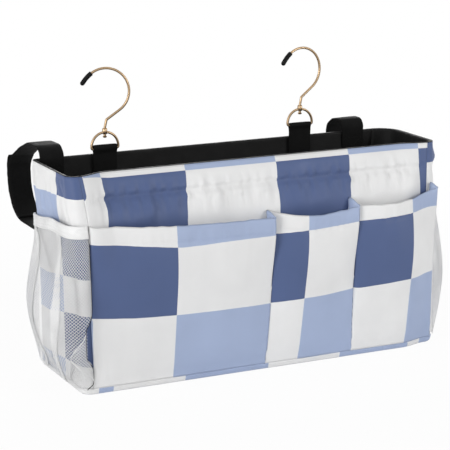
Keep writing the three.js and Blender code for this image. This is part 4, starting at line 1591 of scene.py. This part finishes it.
# %% The tabs
TAB_THICKNESS = 1.2
BAR_RADIUS = 1.2
EYE_RADIUS = BAR_RADIUS + PLAY
TAB_Y = BACK_DEPTH - WALL_DEPTH - PLAY - TAB_THICKNESS
TAB_FOOT = BODY_HEIGHT - 48
TABS = {
    "left": {"x": -121.0, "bar": 203.3, "slack": 1.6},
    "right": {"x": 86.5, "bar": 209.8, "slack": 0.0},
}
for name, tab in TABS.items():
    lie = TAB_THICKNESS / 2
    round_bar = EYE_RADIUS + lie
    neck = tab["bar"] - EYE_RADIUS - 2 * TAB_THICKNESS
    crown = tab["bar"] + tab["slack"]
    before = [(TAB_Y - lie, TAB_FOOT), (TAB_Y - lie, neck), (TAB_Y - round_bar, tab["bar"])]
    after = [(TAB_Y + round_bar, tab["bar"]), (TAB_Y + lie, neck), (TAB_Y + lie, TAB_FOOT)]
    line = [Vector(spot) for spot in before]
    line += arc((TAB_Y, crown), round_bar, math.pi, 0, 12)
    line += [Vector(spot) for spot in after]
    made = webbing_band(name + "_tab", tab["x"], line, 0, 67, TAB_THICKNESS)
    keep(made, "bag", "black_webbing", name + "_ring_tab")

# %% [markdown]
# ## Wire and turned parts
# A wire is drawn as a curve with a round bevel and made into a mesh; the rubber
# sleeve is one too, with radii that close its end. The swivel collar and the hook's
# riveted head are turned on a lathe: a profile is spun about an axis.

# %% Wire and lathe work
RING_HALF_WIDTH = STRAP_WIDTH / 2 + PLAY + BAR_RADIUS
RING_LEG = 2.1
RING_CORNER = 1.8
RING_ARCH = RING_LEG + RING_HALF_WIDTH
COLLAR_RADIUS = 2.3
COLLAR_TOP = RING_ARCH + BAR_RADIUS + 2.6
COLLAR_FOOT = RING_ARCH - BAR_RADIUS - 0.6
WIRE_RADIUS = 1.2
COLLAR_BORE = WIRE_RADIUS + PLAY
LATHE_STEPS = 24
CRISP_ANGLE = math.radians(50)


def wire_mesh(name, points, radii, closed, material):
    """A round wire through 3-D points, as a mesh."""
    curve = bpy.data.curves.new(name, "CURVE")
    curve.dimensions = "3D"
    curve.bevel_depth = 1.0
    curve.bevel_resolution = 4
    curve.use_fill_caps = not closed
    spline = curve.splines.new("POLY")
    spline.points.add(len(points) - 1)
    for spot, place, radius in zip(spline.points, points, radii):
        spot.co = (*(place * MM), 1)
        spot.radius = radius * MM
    spline.use_cyclic_u = closed
    drawn = bpy.data.objects.new(name + "_line", curve)
    bpy.context.scene.collection.objects.link(drawn)
    bpy.context.view_layer.update()
    evaluated = drawn.evaluated_get(bpy.context.evaluated_depsgraph_get())
    mesh = bpy.data.meshes.new_from_object(evaluated)
    bpy.data.objects.remove(drawn)
    bm = bmesh.new()
    bm.from_mesh(mesh)
    bpy.data.meshes.remove(mesh)
    bmesh.ops.remove_doubles(bm, verts=bm.verts, dist=0.00001)
    bmesh.ops.recalc_face_normals(bm, faces=bm.faces[:])
    for face in bm.faces:
        face.smooth = len(face.verts) == 4
    return object_from(bm, name, material)


def add_turned_part(made, profile, place):
    """Adds a closed profile of (radius, height), spun about an upright axis."""
    bm = bmesh.new()
    bm.from_mesh(made.data)
    before = set(bm.verts)
    verts = [bm.verts.new((radius * MM, 0, height * MM)) for radius, height in profile]
    edges = [bm.edges.new((a, b)) for a, b in zip(verts, verts[1:] + verts[:1])]
    bmesh.ops.spin(
        bm,
        geom=verts + edges,
        axis=(0, 0, 1),
        cent=(0, 0, 0),
        angle=2 * math.pi,
        steps=LATHE_STEPS,
        use_merge=True,
    )
    fresh = [v for v in bm.verts if v not in before]
    bmesh.ops.translate(bm, verts=fresh, vec=Vector(place) * MM)
    bmesh.ops.remove_doubles(bm, verts=bm.verts, dist=0.000002)
    bmesh.ops.recalc_face_normals(bm, faces=bm.faces[:])
    for face in bm.faces:
        face.smooth = True
    bm.to_mesh(made.data)
    bm.free()
    crisp = made.modifiers.new("Crisp edges", "EDGE_SPLIT")
    crisp.split_angle = CRISP_ANGLE


# %% [markdown]
# ## The left net's front edge and tuck
# A black cord along the front edge of the left net is painted shade: it stands in for
# the dark shadow in the gap between the net and the pocket. The tuck in its lower
# corner ends in a doubled strand. Both are thin wires laid on the net.

# %% A painted shadow line along the left net's front edge
EDGE_RADIUS = 0.34
TUCK_RADIUS = 0.4
TUCK_SPAN = (15, 59)

# A black cord along the net's front edge: painted shade for the dark gap between net and
# pocket
edge = line_on_net(-1, BASE_BORDER, NET_HEIGHT - 6, lambda level: net_edge(-1, level), 0.1)
made = wire_mesh("left_net_edge_shadow", edge, [EDGE_RADIUS] * len(edge), False, black_thread_and_shadow_line)
keep(made, "bag", "black_webbing")
edge = line_on_net(-1, *TUCK_SPAN, tuck_line, TUCK_LAYER)
made = wire_mesh("left_net_tuck", edge, [TUCK_RADIUS] * len(edge), False, net_yarn)
keep(made, "bag", "white_mesh")

# %% [markdown]
# ## The rings, the hooks and their caps
# Each ring is one closed wire, with a straight bar in its tab and a collar on its
# crown. A hook's stem stands in the collar's bore, and its head under the collar
# keeps it there. The hook is turned about that stem, and the cap sits on its tail.


# %% The D-rings
def ring_points():
    """The ring's wire in its own plane: two tight corners and the round crown."""
    inset = RING_HALF_WIDTH - RING_CORNER
    quarter = math.pi / 2
    points = arc((inset, RING_CORNER), RING_CORNER, -quarter, 0, 6)
    points += arc((0, RING_LEG), RING_HALF_WIDTH, 0, math.pi, 48)
    return points + arc((-inset, RING_CORNER), RING_CORNER, math.pi, 3 * quarter, 6)


for name, tab in TABS.items():
    base_point = Vector((tab["x"], TAB_Y, tab["bar"]))
    points = [base_point + Vector((x, 0, z)) for x, z in ring_points()]
    ring = wire_mesh(name + "_ring", points, [BAR_RADIUS] * len(points), True, pale_gold)
    collar = [
        (COLLAR_BORE, COLLAR_FOOT),
        (COLLAR_RADIUS - 0.4, COLLAR_FOOT),
        (COLLAR_RADIUS, COLLAR_FOOT + 0.4),
        (COLLAR_RADIUS, COLLAR_TOP - 0.5),
        (COLLAR_RADIUS - 0.5, COLLAR_TOP),
        (COLLAR_BORE, COLLAR_TOP),
    ]
    add_turned_part(ring, collar, base_point)
    keep(ring, name + "_ring", "pale_gold", name + "_d_ring")

# %% The hooks and their caps
HOOK_RADIUS = 21.8
HOOK_CENTRE = Vector((1.6, 34.8))
HOOK_KINK = (1.7, 1.8)
HOOK_RISE = math.radians(36)
HOOK_ARC_END = math.radians(127)
TAIL_RADIUS = 34.0
TAIL_LENGTH = 11.0
HEAD_RADIUS = 1.9
HEAD_HEIGHT = 1.5
HEAD_PLAY = 1.8
HEAD_FOOT = COLLAR_FOOT - COLLAR_TOP - HEAD_PLAY - HEAD_HEIGHT
HOOK_TURN = {"left": math.radians(-16), "right": math.radians(7)}
CAP_RADIUS = WIRE_RADIUS + PLAY + 0.75
CAP_PAST = PLAY + 1.4
CAP_MOUTH_SHARE = 0.94


def hook_line():
    """The wire from its head to its tip, in its own upright plane."""
    bend = arc(HOOK_CENTRE, HOOK_RADIUS, HOOK_RISE - math.pi / 2, HOOK_ARC_END, 36)
    start = bend[0]
    kink_x, kink_radius = HOOK_KINK
    kink_z = start.y - (start.x - kink_x) * math.tan(HOOK_RISE)
    line = rounded_line(
        [((0, HEAD_FOOT), 0), ((0, 0), 0), ((kink_x, kink_z), kink_radius), (start, 0)]
    )
    outward = (bend[-1] - HOOK_CENTRE).normalized()
    tail_centre = HOOK_CENTRE - outward * (TAIL_RADIUS - HOOK_RADIUS)
    tail_end = HOOK_ARC_END + TAIL_LENGTH / TAIL_RADIUS
    tail = arc(tail_centre, TAIL_RADIUS, HOOK_ARC_END, tail_end, 8)
    return line + bend[1:] + tail[1:]


for name, tab in TABS.items():
    origin = Vector((tab["x"], TAB_Y, tab["bar"] + COLLAR_TOP))
    turn = Matrix.Rotation(HOOK_TURN[name], 3, "Z")
    line = hook_line()
    lengths = lengths_of(line)
    tail_start = lengths[-1] - TAIL_LENGTH
    placed = [origin + turn @ Vector((p.x, 0, p.y)) for p in line]
    radii = [WIRE_RADIUS] * len(placed)
    hook = wire_mesh(name + "_wire_hook", placed, radii, False, pale_gold)
    head = [
        (0.4, HEAD_FOOT),
        (HEAD_RADIUS - 0.5, HEAD_FOOT),
        (HEAD_RADIUS, HEAD_FOOT + 0.5),
        (HEAD_RADIUS, HEAD_FOOT + HEAD_HEIGHT - 0.3),
        (HEAD_RADIUS - 0.4, HEAD_FOOT + HEAD_HEIGHT),
        (0.4, HEAD_FOOT + HEAD_HEIGHT),
    ]
    add_turned_part(hook, head, origin)
    keep(hook, name + "_hook", "pale_gold", name + "_hook")

    # The sleeve goes past the wire's tip and closes there in a quarter circle
    tip, left = point_at(line, lengths, lengths[-1])
    along = Vector((left.y, -left.x))
    cap_line = part_of(line, tail_start, lengths[-1] - 0.01)
    radii = [CAP_RADIUS * CAP_MOUTH_SHARE] + [CAP_RADIUS] * (len(cap_line) - 1)
    for step in range(8):
        angle = math.pi / 2 * step / 8
        cap_line.append(tip + along * (CAP_PAST + CAP_RADIUS * math.sin(angle)))
        radii.append(CAP_RADIUS * math.cos(angle))
    placed = [origin + turn @ Vector((p.x, 0, p.y)) for p in cap_line]
    cap = wire_mesh(name + "_rubber_cap", placed, radii, False, rubber)
    keep(cap, name + "_hook", "black_rubber", name + "_hook_cap")

# %% [markdown]
# ## Stitches
# Sewn lines are what make cloth look sewn. One stitch is a small ball pulled long, of
# twenty faces, laid every few millimetres along a line on the cloth, half sunk in it.


# %% Rows of stitches
STITCH_LENGTH = 2.3
STITCH_GAP = 3.1
STITCH_RADIUS = 0.22
STITCH_LIFT = 0.06


def stitch_row(bm, tints, place, length):
    """Stitches along a line: place(share) gives a point and the cloth's outward way."""
    count = max(1, round(length / STITCH_GAP))
    for index in range(count):
        share = (index + 0.5) / count
        here, outward, printed = place(share)
        ahead = place(min(1.0, share + 0.002))[0]
        behind = place(max(0.0, share - 0.002))[0]
        along = (Vector(ahead) - Vector(behind)).normalized()
        outward = Vector(outward).normalized()
        across = along.cross(outward).normalized()
        outward = across.cross(along)
        turn = Matrix((along, across, outward)).transposed().to_4x4()
        size = Matrix.Diagonal((STITCH_LENGTH / 2, STITCH_RADIUS, STITCH_RADIUS, 1))
        move = Matrix.Translation((Vector(here) + outward * STITCH_LIFT) * MM)
        scale = Matrix.Scale(MM, 4)
        made = bmesh.ops.create_icosphere(
            bm, subdivisions=1, radius=1, matrix=move @ turn @ scale @ size
        )
        tints.update((v, printed) for v in made["verts"])


def stitched(name, rows, material, slot):
    """One piece of all these rows, each with its place function and its length."""
    bm = bmesh.new()
    tints = {}
    for place, length in rows:
        stitch_row(bm, tints, place, length)
    cloth = bm.loops.layers.uv.new("cloth")
    check = bm.loops.layers.uv.new("print")
    for face in bm.faces:
        face.smooth = True
        for loop in face.loops:
            loop[cloth].uv = loop.vert.co.xz / MM
            loop[check].uv = tints[loop.vert]
    return keep(object_from(bm, name, material), "bag", slot)


def front_line(z):
    """A row across the front wall at a height."""

    def place(share):
        t = mix(0.01, 0.99, share)
        up = (z - BASE_BORDER) / (BODY_HEIGHT - BASE_BORDER)
        return front_place(t, up), (0, -1, 0), front_print(t, up)

    return place, 2 * seam_x(z)


def hem_line(name, drop):
    """A row on a pocket's hem, a little below its mouth."""

    def place(share):
        t = mix(0.02, TURN_START - 0.02, share)
        spot = (name, t, FACE_LENGTH - drop)
        return pocket_place(*spot), (0, -1, 0), pocket_print(*spot)

    left_edge, right_edge = POCKETS[name]["edges"]
    return place, right_edge(140) - left_edge(140)


def band_line(side, up):
    """A row along an elastic band, at a share of its folded profile."""
    start, end = net_ends(side)

    def place(share):
        out, level = band_profile(up)
        where = end_share(side, mix(start + 1, end - 1, share))
        x, y, nx, ny = end_outline(side, where, level)
        return net_place(side, where, level, out + 0.1), (nx, ny, 0), (0, 0)

    return place, end - start


white_rows = [front_line(CASING_HEIGHT), front_line(CASING_HEIGHT + 1.6)]
for name in POCKETS:
    white_rows.append(hem_line(name, HEM - 1.5))
stitched("front_stitches", white_rows, printed_cloth, "printed_cloth")
for side, name in SIDES.items():
    rows = [band_line(side, 0.05), band_line(side, 0.36)]
    stitched(name + "_band_stitches", rows, binding, "white_binding")


# %% Box stitches on the webbing
BOX_HALF = 9.5
TAB_BOX = (153, 172)
SEAM_BOX = (STRAP_SEAM_Z - 16.5, STRAP_SEAM_Z - 2)
RIM_BOX = (BODY_HEIGHT - 22, BODY_HEIGHT - 6)


def straight_row(x, y, facing, a, b):
    """A row on an upright face, between two corners of (x, z)."""

    def place(share):
        here = (x + mix(a[0], b[0], share), y, mix(a[1], b[1], share))
        return here, (0, facing, 0), (0, 0)

    return place, math.hypot(b[0] - a[0], b[1] - a[1])


def box_stitch(x, y, facing, heights):
    """A sewn box with a cross in it; facing is 1 for backwards, -1 for forwards."""
    low, high = heights
    corners = [(-BOX_HALF, low), (BOX_HALF, low), (BOX_HALF, high), (-BOX_HALF, high)]
    runs = list(zip(corners, corners[1:] + corners[:1]))
    runs += [(corners[0], corners[2]), (corners[1], corners[3])]
    return [straight_row(x, y, facing, a, b) for a, b in runs]


for name, tab in TABS.items():
    rows = box_stitch(tab["x"], TAB_Y - TAB_THICKNESS - 0.05, -1, TAB_BOX)
    stitched(name + "_tab_stitches", rows, black_thread_and_shadow_line, "black_webbing")
for name, strap in STRAPS.items():
    rows = box_stitch(strap["x"], STRAP_SEAM_Y + 0.05, 1, SEAM_BOX)
    inner_y = STRAP_INNER_Y - STRAP_THICKNESS / 2 - 0.05
    rows += box_stitch(strap["x"], inner_y, -1, RIM_BOX)
    stitched(name + "_strap_stitches", rows, black_thread_and_shadow_line, "black_webbing")

# %% [markdown]
# ## The boards
# The stiffening boards are hidden between the cloth and the lining. Their solids are
# right as they are, so they only get a fibreboard material.

# %% The boards
for name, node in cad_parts.items():
    if name.endswith("_board"):
        node.data.materials.clear()
        node.data.materials.append(fibreboard)
